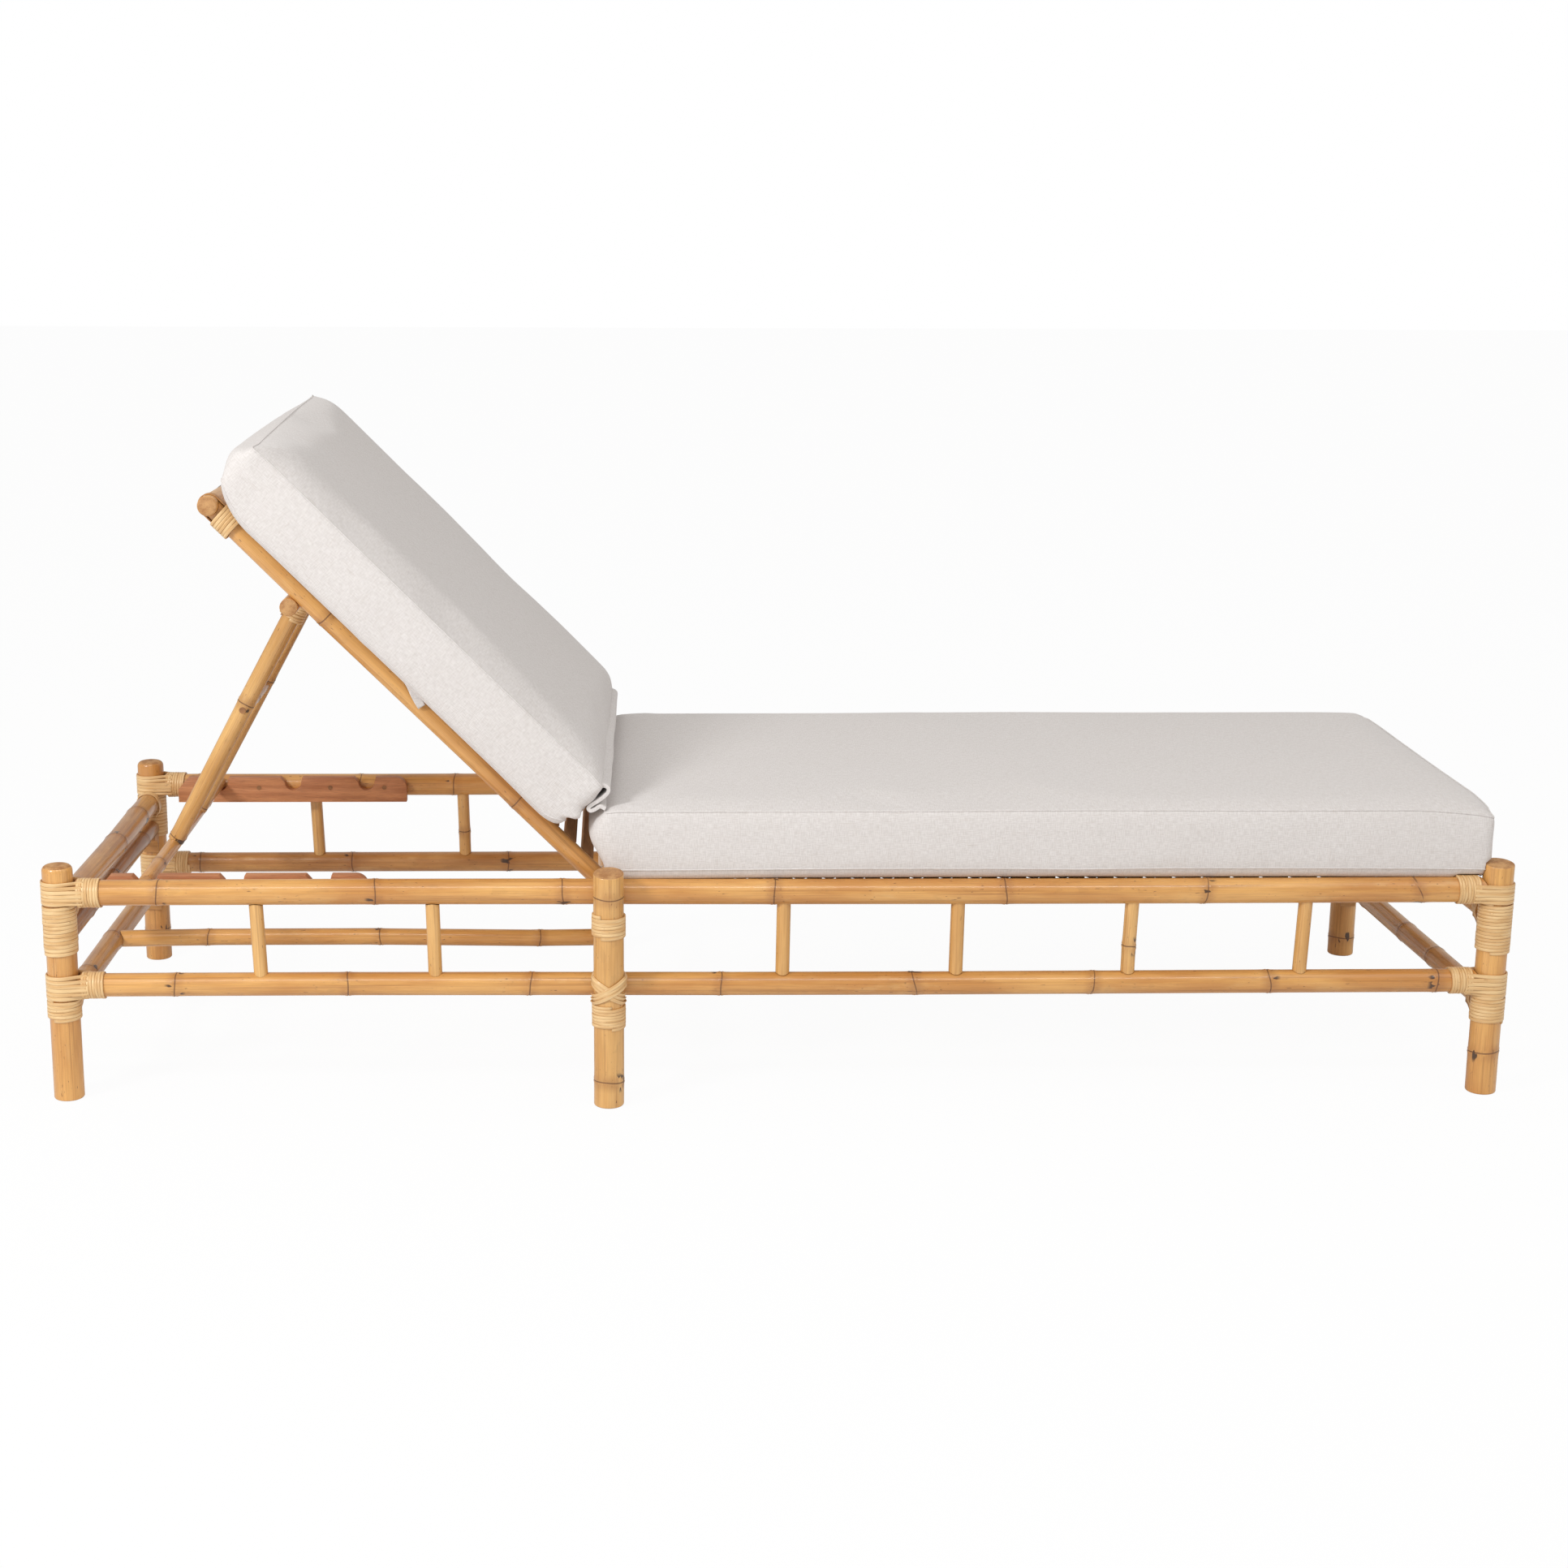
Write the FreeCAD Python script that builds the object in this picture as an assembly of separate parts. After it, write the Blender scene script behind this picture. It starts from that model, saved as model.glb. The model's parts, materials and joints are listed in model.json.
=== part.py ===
import FreeCAD, Part
import math
import os

# Bamboo sun lounger with a reclining back, a folding prop, two notched racks and loose boxed cushions.
# +X runs from the head end to the foot end, +Y to the sitter's left, +Z up. The floor is z = 0.
# The origin is on the floor, midway between the head and foot legs and midway between the two sides.

V = FreeCAD.Vector
UP = V(0, 0, 1)
ALONG = V(1, 0, 0)
ACROSS = V(0, 1, 0)
RIGHT = -1
LEFT = 1
SIDES = {"right": RIGHT, "left": LEFT}

# Frame: where the poles stand
HEAD_LEG_X = -977.5
FOOT_LEG_X = 977.5
MIDDLE_LEG_X = -236.0
SIDE_Y = 325.0
LEG_D = 41.0
LEG_H = 330.0
LEG_TOP_ROUND = 6.0
LEG_FOOT_ROUND = 3.0

TOP_RAIL_D = 35.0
TOP_RAIL_Z = 290.5
LOWER_RAIL_D = 32.0
LOWER_RAIL_Z = 160.5

HEAD_TOP_CROSS_D = 34.5
HEAD_TOP_CROSS_Z = 265.0
HEAD_SECOND_CROSS_D = 27.0
HEAD_SECOND_CROSS_Z = 223.0
CROSS_D = 34.0
LOWER_CROSS_D = 31.0

STRETCHER_D = 25.0

BALUSTER_D = 19.0
BALUSTER_PITCH = 237.5
BALUSTERS_HEADWARDS = 2
BALUSTERS_FOOTWARDS = 4

# Clearances
COPE_GAP = 0.2
WRAP_GAP = 0.25
REST_GAP = 0.3
PIN_GAP = 0.06

# Rattan wrapping: round cane wound in even turns
CANE_D = 3.2
SADDLE_R = 26.0
SADDLE_W = 24.0
COLLAR_LENGTH = 34.0
COLLAR_LOOPS = 8
COLLAR_OFFSET = 1.0

# Windings on the legs: lowest and highest z of each, and its turns
HEAD_UPPER_WRAP = (205.0, 309.0)
HEAD_UPPER_LOOPS = 18
HEAD_LOWER_WRAP = (113.0, 178.0)
HEAD_LOWER_LOOPS = 12
MIDDLE_UPPER_WRAP = (238.0, 272.0)
MIDDLE_UPPER_LOOPS = 6
MIDDLE_LOWER_WRAP = (111.0, 146.0)
MIDDLE_LOWER_LOOPS = 7
FOOT_UPPER_WRAP = (202.0, 301.0)
FOOT_UPPER_LOOPS = 20
FOOT_LOWER_WRAP = (101.0, 174.0)
FOOT_LOWER_LOOPS = 13

# Racks: notched boards on the inner faces of the top rails
RACK_HEAD_X = -928.0
RACK_L = 365.0
RACK_H = 40.0
RACK_T = 16.0
RACK_TOP_Z = 309.0
RACK_CHAMFER_L = 16.0
RACK_CHAMFER_H = 19.0
RACK_END_ROUND = 17.0
NOTCH_1_X = -862.0
NOTCH_PITCH = 117.5
NOTCHES = 3
NOTCH_DEPTH = 21.0
NOTCH_R = 13.0
NOTCH_LEAN_HEAD = 7.0
NOTCH_LEAN_FOOT = 2.0
RACK_SCREW_D = 7.0
RACK_SCREW_PROUD = 0.6
RACK_SCREW_X = (-799.0, -685.0, -598.5)
RACK_SCREW_DROP = 16.5

# Seat deck
DECK_START_X = -205.0
LEDGE_W = 16.0
LEDGE_H = 14.0
SEAT_LEDGE_TOP = 299.0
SLAT_W = 20.0
SLAT_T = 6.0
SEAT_SLAT_PITCH = 40.0
SEAT_SLAT_END_GAP = 1.8

# Back frame, drawn lying flat and headwards of its hinge, then raised by BACK_ANGLE
HINGE_X = -244.0
HINGE_Z = TOP_RAIL_Z
BACK_ANGLE = 45.0
BACK_RAIL_Y = 276.0
BACK_RAIL_D = 26.0
BACK_L = 732.0
CROSSBAR_D = 27.0
CROSSBAR_SPAN = 596.0
CROSSBAR_END_ROUND = 2.0
HINGE_PIN_D = 10.0
HINGE_SHOULDER_D = 21.0
HINGE_CAP_D = 18.0
HINGE_CAP_T = 4.0
HINGE_PIN_DEPTH = 22.0
BACK_LEDGE_W = 14.0
BACK_LEDGE_H = 10.0
BACK_LEDGE_TOP = 6.0
BACK_SLAT_START = 40.0
BACK_SLAT_PITCH = 33.0
STRAP_T = 1.4
CROSSBAR_STRAP_W = 12.0
CROSSBAR_COLLAR_LENGTH = 33.0
CROSSBAR_COLLAR_LOOPS = 6

# Prop: two poles that hang from a pivot pole and stand on a bar that lies in the racks
PIVOT_S = 565.0
PIVOT_POLE_D = 24.0
PIVOT_POLE_SPAN = 570.0
PIVOT_PEG_D = 6.0
PROP_POLE_Y = 97.0
PROP_TOP_D = 26.0
PROP_FOOT_D = 23.0
PROP_BAR_D = 20.0
PROP_BAR_SPAN = 608.0
PROP_BAR_LEAN = 2.0
SPREADER_D = 20.0
SPREADER_FROM_PIVOT = 198.0
PLUG_D = 9.0
PLUG_L = 7.0
PLUG_PROUD = 0.6
PIVOT_RUN_GAP = 0.4
PROP_LIP = 6.0
PROP_STRAP_W = 12.0
PROP_BINDING_START = 17.0
PROP_BINDING_LENGTH = 34.0
PROP_BINDING_LOOPS = 7

# Cushions
SEAT_CUSHION_HEAD_X = -250.0
SEAT_CUSHION_FOOT_X = 972.0
SEAT_CUSHION_W = 660.0
CUSHION_T = 88.0
CUSHION_CROWN = 7.0
CUSHION_BULGE = 4.0
CUSHION_DRAW_IN = 5.0
CUSHION_END_ROUND = 26.0
BACK_CUSHION_HEAD_ROUND = 14.0
CUSHION_STATIONS = 14
CUSHION_RELIEF = 1.5
BACK_CUSHION_S0 = 100.0
BACK_CUSHION_L = 648.0
BACK_CUSHION_W = 650.0

# Values that follow from the sizes above
LEG_R = LEG_D / 2.0
TOP_RAIL_R = TOP_RAIL_D / 2.0
LOWER_RAIL_R = LOWER_RAIL_D / 2.0
BACK_RAIL_R = BACK_RAIL_D / 2.0
MIDDLE_LEG_Y = SIDE_Y + TOP_RAIL_R + LEG_R + COPE_GAP
WRAP_OUTER = WRAP_GAP + CANE_D
WRAPPED_LEG_R = LEG_R + WRAP_OUTER + COPE_GAP
CROSS_Z = TOP_RAIL_Z - TOP_RAIL_R - CROSS_D / 2.0 - COPE_GAP
LOWER_CROSS_Z = LOWER_RAIL_Z - LOWER_RAIL_R - LOWER_CROSS_D / 2.0 - COPE_GAP
RAIL_INNER_Y = SIDE_Y - TOP_RAIL_R - COPE_GAP
SEAT_SLAT_SPAN = 2.0 * (RAIL_INNER_Y - SEAT_SLAT_END_GAP)
COLLAR_HEAD_X = HEAD_LEG_X + WRAPPED_LEG_R + COLLAR_OFFSET
COLLAR_FOOT_X = FOOT_LEG_X - WRAPPED_LEG_R - COLLAR_OFFSET - COLLAR_LENGTH
NOTCH_FLOOR_Z = RACK_TOP_Z - NOTCH_DEPTH
PROP_BAR_X = NOTCH_1_X - PROP_BAR_LEAN
NOTCH_BOWL_Z = NOTCH_FLOOR_Z + NOTCH_R
PROP_BAR_Z = NOTCH_BOWL_Z - math.sqrt((NOTCH_R - PROP_BAR_D / 2.0 - REST_GAP) ** 2 - PROP_BAR_LEAN ** 2)
BACK_DECK_END = BACK_L - CROSSBAR_D / 2.0 - CROSSBAR_COLLAR_LENGTH - 2.0 * COLLAR_OFFSET
PIVOT_N = -(BACK_RAIL_R + PIVOT_POLE_D / 2.0 + COPE_GAP)
SEAT_BASE_Z = TOP_RAIL_Z + TOP_RAIL_R + REST_GAP
BACK_BASE_N = BACK_RAIL_R + REST_GAP

RAISE = FreeCAD.Placement(V(HINGE_X, 0, HINGE_Z), FreeCAD.Rotation(ACROSS, BACK_ANGLE))
PIVOT = RAISE.multVec(V(-PIVOT_S, 0, PIVOT_N))
PROP_FOOT = V(PROP_BAR_X, 0, PROP_BAR_Z)
PROP_DOWN = (PROP_FOOT - PIVOT).normalize()
PROP_L = (PROP_FOOT - PIVOT).Length

nodes = {}


def keep(name, *shapes):
    """Register one sub-part: one solid, or a group of like solids."""
    solids = []
    for shape in shapes:
        solids += shape.Solids
    nodes[name] = solids[0] if len(solids) == 1 else Part.makeCompound(solids)


def rod(start, end, diameter, end_diameter=None):
    """A straight round pole between two points, tapering if end_diameter is given."""
    way = end - start
    if end_diameter is None:
        return Part.makeCylinder(diameter / 2.0, way.Length, start, way)
    return Part.makeCone(diameter / 2.0, end_diameter / 2.0, way.Length, start, way)


def place(shape, placement):
    """The shape moved and turned as one rigid piece."""
    moved = shape.copy()
    moved.Placement = placement.multiply(moved.Placement)
    return moved


def raised(shape):
    """A piece of the back frame, drawn flat, brought to the photographed angle."""
    return place(shape, RAISE)


def biarc(p0, t0, p1, t1):
    """Two tangent arcs from p0 along t0 to p1 along t1."""
    chord = p1 - p0
    turn = t0 + t1
    bend = 2.0 * (1.0 - t0.dot(t1))
    reach = (-chord.dot(turn) + math.sqrt(chord.dot(turn) ** 2 + bend * chord.dot(chord))) / bend
    corner_0 = p0 + t0 * reach
    corner_1 = p1 - t1 * reach
    middle = (corner_0 + corner_1) * 0.5
    return [tangent_arc(p0, corner_0, middle), tangent_arc(middle, corner_1, p1)]


def tangent_arc(start, corner, end):
    """The arc from start to end whose end tangents meet at corner."""
    centre = (start + end) * 0.5
    height = (corner - centre).Length
    half = (start - centre).Length
    rise = half * math.tan(math.atan2(height, half) / 2.0)
    return Part.Arc(start, centre + (corner - centre) * (rise / height), end).toShape()


def winding(name, base, axis, side_way, core_r, length, loops):
    """One unbroken cane wound on a round core; half-turn steps of a helix joined by biarcs."""
    axis = V(axis).normalize()
    side_way = V(side_way).normalize()
    third_way = axis.cross(side_way)
    pitch = length / (loops + 1.0)
    radius = core_r + WRAP_GAP + CANE_D / 2.0

    def point(turns):
        angle = 2.0 * math.pi * turns
        ring = side_way * (radius * math.cos(angle)) + third_way * (radius * math.sin(angle))
        return base + ring + axis * (pitch * (turns + 0.5))

    def heading(turns):
        angle = 2.0 * math.pi * turns
        ring = third_way * (radius * math.cos(angle)) - side_way * (radius * math.sin(angle))
        return (ring + axis * (pitch / (2.0 * math.pi))).normalize()

    edges = []
    for step in range(2 * loops):
        a = step / 2.0
        b = a + 0.5
        edges += biarc(point(a), heading(a), point(b), heading(b))
    section = Part.Circle(point(0.0), heading(0.0), CANE_D / 2.0)
    shell = Part.BRepOffsetAPI.MakePipeShell(Part.Wire(edges))
    shell.add(Part.Wire([section.toShape()]))
    shell.build()
    shell.makeSolid()
    print(name, "least gap to itself", round(least_gap(point, loops), 2), "mm")
    return shell.shape()


def least_gap(point, loops):
    """Smallest space between neighbouring turns, measured on points of the cane's middle line."""
    per_turn = 24
    points = [point(i / per_turn) for i in range(loops * per_turn + 1)]
    least = 1.0e9
    for i, p in enumerate(points):
        for q in points[i + per_turn // 2:i + 2 * per_turn]:
            least = min(least, (q - p).Length)
    return least - CANE_D


def leg_wraps(name, x, y, bands):
    """The windings on one leg; each band is its lowest and highest z and its turns."""
    coils = []
    for (low, high), loops in bands:
        coils.append(winding(name, V(x, y, low), UP, ALONG, LEG_R, high - low, loops))
    keep(name, *coils)


def strap(loop_r, width, tail):
    """A strip bent round a pole, with two tails along +X; drawn about the Y axis."""
    inner = loop_r + WRAP_GAP
    outer = inner + STRAP_T
    edges = [
        Part.LineSegment(V(tail, 0, outer), V(0, 0, outer)).toShape(),
        Part.Arc(V(0, 0, outer), V(-outer, 0, 0), V(0, 0, -outer)).toShape(),
        Part.LineSegment(V(0, 0, -outer), V(tail, 0, -outer)).toShape(),
        Part.LineSegment(V(tail, 0, -outer), V(tail, 0, -inner)).toShape(),
        Part.LineSegment(V(tail, 0, -inner), V(0, 0, -inner)).toShape(),
        Part.Arc(V(0, 0, -inner), V(-inner, 0, 0), V(0, 0, inner)).toShape(),
        Part.LineSegment(V(0, 0, inner), V(tail, 0, inner)).toShape(),
        Part.LineSegment(V(tail, 0, inner), V(tail, 0, outer)).toShape(),
    ]
    face = Part.Face(Part.Wire(edges))
    face.translate(V(0, -width / 2.0, 0))
    return face.extrude(V(0, width, 0))


def strapped_core(core_r, width):
    """Radius that clears a pole and the strap tails lying on it."""
    return math.hypot(core_r + WRAP_GAP + STRAP_T, width / 2.0)


def space_round(start, end, radius):
    """A round hollow that keeps clear of a pole, strap or collar of this radius."""
    return rod(start, end, 2.0 * (radius + CUSHION_RELIEF))


def make_legs():
    """Six upright poles; the middle pair stands outside the side rails."""
    spots = {
        "head": (HEAD_LEG_X, SIDE_Y),
        "middle": (MIDDLE_LEG_X, MIDDLE_LEG_Y),
        "foot": (FOOT_LEG_X, SIDE_Y),
    }
    wraps = {
        "head": ((HEAD_LOWER_WRAP, HEAD_LOWER_LOOPS), (HEAD_UPPER_WRAP, HEAD_UPPER_LOOPS)),
        "middle": ((MIDDLE_LOWER_WRAP, MIDDLE_LOWER_LOOPS), (MIDDLE_UPPER_WRAP, MIDDLE_UPPER_LOOPS)),
        "foot": ((FOOT_LOWER_WRAP, FOOT_LOWER_LOOPS), (FOOT_UPPER_WRAP, FOOT_UPPER_LOOPS)),
    }
    for end, (x, y) in spots.items():
        for side, way in SIDES.items():
            leg = rod(V(x, way * y, 0), V(x, way * y, LEG_H), LEG_D)
            top = [edge for edge in leg.Edges if edge.BoundBox.ZMin > LEG_H / 2.0]
            leg = leg.makeFillet(LEG_TOP_ROUND, top)
            foot = [edge for edge in leg.Edges if edge.BoundBox.ZMax < LEG_H / 2.0]
            leg = leg.makeFillet(LEG_FOOT_ROUND, foot)
            keep("leg_%s_%s" % (end, side), leg)
            leg_wraps("leg_wraps_%s_%s" % (end, side), x, way * y, wraps[end])


def wrapped_leg(x, y):
    """A leg with its winding, as the space that a coped pole keeps clear of."""
    return rod(V(x, y, 0), V(x, y, LEG_H), 2.0 * WRAPPED_LEG_R)


def make_side_rails():
    """Two top rails and two lower rails, coped to the wrapped corner legs, with their end collars."""
    head_collars = []
    foot_collars = []
    for side, way in SIDES.items():
        y = way * SIDE_Y
        corner_legs = [wrapped_leg(HEAD_LEG_X, y), wrapped_leg(FOOT_LEG_X, y)]
        for level, z, d in (("top", TOP_RAIL_Z, TOP_RAIL_D), ("lower", LOWER_RAIL_Z, LOWER_RAIL_D)):
            rail = rod(V(HEAD_LEG_X, y, z), V(FOOT_LEG_X, y, z), d).cut(Part.makeCompound(corner_legs))
            if level == "top":
                rail = rail.cut(hinge_dowel(way, HINGE_PIN_D + 2.0 * COPE_GAP))
            keep("%s_rail_%s" % (level, side), rail)
            for x, collars in ((COLLAR_HEAD_X, head_collars), (COLLAR_FOOT_X, foot_collars)):
                name = "collar_%s_%s" % (level, side)
                collars.append(winding(name, V(x, y, z), ALONG, UP, d / 2.0, COLLAR_LENGTH, COLLAR_LOOPS))
    keep("rail_collars_head", *head_collars)
    keep("rail_collars_foot", *foot_collars)


def cross_pole(x, leg_y, z, diameter):
    """A pole across the frame between two wrapped legs."""
    pole = rod(V(x, -leg_y, z), V(x, leg_y, z), diameter)
    return pole.cut(Part.makeCompound([wrapped_leg(x, -leg_y), wrapped_leg(x, leg_y)]))


def saddles(x, leg_y, z, diameter):
    """The shaved tongues that curve from under a cross pole's two ends down the wrapped legs."""
    pieces = []
    low = z - diameter / 2.0 - SADDLE_R
    for way in (RIGHT, LEFT):
        inner = leg_y - WRAPPED_LEG_R
        block = Part.makeBox(SADDLE_W, SADDLE_R + WRAPPED_LEG_R / 2.0, SADDLE_R + diameter / 2.0)
        block.translate(V(x - SADDLE_W / 2.0, inner - SADDLE_R, low))
        hollow = rod(V(x - SADDLE_W, inner - SADDLE_R, low), V(x + SADDLE_W, inner - SADDLE_R, low), 2 * SADDLE_R)
        pole = rod(V(x, 0, z), V(x, leg_y, z), diameter + 2.0 * COPE_GAP)
        piece = block.cut(Part.makeCompound([hollow, pole, wrapped_leg(x, leg_y)]))
        if way == RIGHT:
            piece = piece.mirror(V(0, 0, 0), ACROSS)
        pieces.append(max(piece.Solids, key=lambda solid: solid.Volume))
    return pieces


def make_cross_poles():
    """The poles that join the two sides, and the stretcher between the two lower ones headwards."""
    ends = {
        "head": (
            (HEAD_LEG_X, SIDE_Y),
            (
                ("top", HEAD_TOP_CROSS_Z, HEAD_TOP_CROSS_D),
                ("second", HEAD_SECOND_CROSS_Z, HEAD_SECOND_CROSS_D),
                ("lower", LOWER_CROSS_Z, LOWER_CROSS_D),
            ),
        ),
        "middle": (
            (MIDDLE_LEG_X, MIDDLE_LEG_Y),
            (("top", CROSS_Z, CROSS_D), ("lower", LOWER_CROSS_Z, LOWER_CROSS_D)),
        ),
        "foot": (
            (FOOT_LEG_X, SIDE_Y),
            (("top", CROSS_Z, CROSS_D), ("lower", LOWER_CROSS_Z, LOWER_CROSS_D)),
        ),
    }
    for end, ((x, leg_y), levels) in ends.items():
        tongues = []
        for level, z, diameter in levels:
            keep("%s_%s_cross_pole" % (end, level), cross_pole(x, leg_y, z, diameter))
            if not (end == "head" and level == "top"):
                tongues += saddles(x, leg_y, z, diameter)
        keep("%s_saddles" % end, *tongues)
    z = LOWER_CROSS_Z
    stretcher = rod(V(HEAD_LEG_X, 0, z), V(MIDDLE_LEG_X, 0, z), STRETCHER_D)
    for x in (HEAD_LEG_X, MIDDLE_LEG_X):
        stretcher = stretcher.cut(rod(V(x, -SIDE_Y, z), V(x, SIDE_Y, z), LOWER_CROSS_D + 2.0 * COPE_GAP))
    keep("centre_stretcher", stretcher)


def make_balusters():
    """Short uprights between the side rails, evenly spaced from the middle leg."""
    steps = [-1 - i for i in range(BALUSTERS_HEADWARDS)] + [1 + i for i in range(BALUSTERS_FOOTWARDS)]
    for side, way in SIDES.items():
        y = way * SIDE_Y
        top = rod(V(HEAD_LEG_X, y, TOP_RAIL_Z), V(FOOT_LEG_X, y, TOP_RAIL_Z), TOP_RAIL_D + 2.0 * COPE_GAP)
        low = rod(V(HEAD_LEG_X, y, LOWER_RAIL_Z), V(FOOT_LEG_X, y, LOWER_RAIL_Z), LOWER_RAIL_D + 2.0 * COPE_GAP)
        rails = Part.makeCompound([top, low])
        group = []
        for step in steps:
            x = MIDDLE_LEG_X + step * BALUSTER_PITCH
            upright = rod(V(x, y, LOWER_RAIL_Z), V(x, y, TOP_RAIL_Z), BALUSTER_D)
            group.append(upright.cut(rails))
        keep("balusters_%s" % side, *group)


def rack_outline():
    """The rack's side view, from its lower head corner, over the notches and back."""
    floor = RACK_TOP_Z - RACK_H
    foot_x = RACK_HEAD_X + RACK_L
    corners = [V(RACK_HEAD_X, 0, floor), V(RACK_HEAD_X, 0, RACK_TOP_Z - RACK_CHAMFER_H)]
    corners.append(V(RACK_HEAD_X + RACK_CHAMFER_L, 0, RACK_TOP_Z))
    edges = [Part.LineSegment(corners[0], corners[1]).toShape()]
    edges.append(Part.LineSegment(corners[1], corners[2]).toShape())
    last = corners[2]
    for i in range(NOTCHES):
        x = NOTCH_1_X + i * NOTCH_PITCH
        lip_head = V(x - NOTCH_R - NOTCH_LEAN_HEAD, 0, RACK_TOP_Z)
        bowl_head = V(x - NOTCH_R, 0, NOTCH_BOWL_Z)
        bowl_foot = V(x + NOTCH_R, 0, NOTCH_BOWL_Z)
        lip_foot = V(x + NOTCH_R + NOTCH_LEAN_FOOT, 0, RACK_TOP_Z)
        edges.append(Part.LineSegment(last, lip_head).toShape())
        edges.append(Part.LineSegment(lip_head, bowl_head).toShape())
        edges.append(Part.Arc(bowl_head, V(x, 0, NOTCH_FLOOR_Z), bowl_foot).toShape())
        edges.append(Part.LineSegment(bowl_foot, lip_foot).toShape())
        last = lip_foot
    round_start = V(foot_x - RACK_END_ROUND, 0, RACK_TOP_Z)
    round_end = V(foot_x, 0, RACK_TOP_Z - RACK_END_ROUND)
    bow = RACK_END_ROUND * (1.0 - math.sqrt(0.5))
    edges.append(Part.LineSegment(last, round_start).toShape())
    edges.append(Part.Arc(round_start, V(foot_x - bow, 0, RACK_TOP_Z - bow), round_end).toShape())
    edges.append(Part.LineSegment(round_end, V(foot_x, 0, floor)).toShape())
    edges.append(Part.LineSegment(V(foot_x, 0, floor), corners[0]).toShape())
    return Part.Face(Part.Wire(edges))


def make_racks():
    """Two notched boards, scribed round the rail collars, and the screw plugs that hold them."""
    plugs = []
    for side, way in SIDES.items():
        outer = way * RAIL_INNER_Y
        inner = way * (RAIL_INNER_Y - RACK_T)
        board = rack_outline()
        board.translate(V(0, min(outer, inner), 0))
        board = board.extrude(V(0, RACK_T, 0))
        collar_r = TOP_RAIL_R + WRAP_OUTER + COPE_GAP
        collar_end = COLLAR_HEAD_X + COLLAR_LENGTH + COPE_GAP
        relief = rod(V(HEAD_LEG_X, way * SIDE_Y, TOP_RAIL_Z), V(collar_end, way * SIDE_Y, TOP_RAIL_Z), 2 * collar_r)
        board = board.cut(relief)
        for x in RACK_SCREW_X:
            z = RACK_TOP_Z - RACK_SCREW_DROP
            hole = rod(V(x, outer, z), V(x, inner, z), RACK_SCREW_D + 2.0 * PIN_GAP)
            board = board.cut(hole)
            plugs.append(rod(V(x, outer, z), V(x, inner - way * RACK_SCREW_PROUD, z), RACK_SCREW_D))
        keep("rack_%s" % side, board)
    keep("rack_screw_plugs", *plugs)


def make_seat_deck():
    """Ledges along the top rails and the cross slats that carry the seat cushion."""
    end_x = COLLAR_FOOT_X - COPE_GAP
    for side, way in SIDES.items():
        low_y = min(way * RAIL_INNER_Y, way * (RAIL_INNER_Y - LEDGE_W))
        ledge = Part.makeBox(end_x - DECK_START_X, LEDGE_W, LEDGE_H)
        ledge.translate(V(DECK_START_X, low_y, SEAT_LEDGE_TOP - LEDGE_H))
        keep("seat_ledge_%s" % side, ledge)
    slats = []
    x = DECK_START_X
    while x + SLAT_W <= end_x:
        slat = Part.makeBox(SLAT_W, SEAT_SLAT_SPAN, SLAT_T)
        slat.translate(V(x, -SEAT_SLAT_SPAN / 2.0, SEAT_LEDGE_TOP))
        slats.append(slat)
        x += SEAT_SLAT_PITCH
    keep("seat_slats", *slats)


def hinge_dowel(way, diameter):
    """The straight part of a hinge pin, from inside the top rail to the cap."""
    deep = way * (SIDE_Y - TOP_RAIL_R + HINGE_PIN_DEPTH)
    tip = way * (BACK_RAIL_Y - BACK_RAIL_R - REST_GAP - HINGE_CAP_T)
    return rod(V(HINGE_X, deep, HINGE_Z), V(HINGE_X, tip, HINGE_Z), diameter)


def make_hinges():
    """Shouldered pins fixed in the top rails; the back rails turn on them, kept on by caps."""
    pins = []
    caps = []
    for way in SIDES.values():
        shoulder_start = way * (RAIL_INNER_Y - COPE_GAP)
        shoulder_end = way * (BACK_RAIL_Y + BACK_RAIL_R + REST_GAP)
        shoulder = rod(V(HINGE_X, shoulder_start, HINGE_Z), V(HINGE_X, shoulder_end, HINGE_Z), HINGE_SHOULDER_D)
        pins.append(hinge_dowel(way, HINGE_PIN_D).fuse(shoulder).removeSplitter())
        cap_start = way * (BACK_RAIL_Y - BACK_RAIL_R - REST_GAP)
        cap_end = cap_start - way * HINGE_CAP_T
        cap = rod(V(HINGE_X, cap_start, HINGE_Z), V(HINGE_X, cap_end, HINGE_Z), HINGE_CAP_D)
        caps.append(cap.cut(hinge_dowel(way, HINGE_PIN_D + 2.0 * PIN_GAP)))
    keep("hinge_pins", *pins)
    keep("hinge_pin_caps", *caps)


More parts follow.
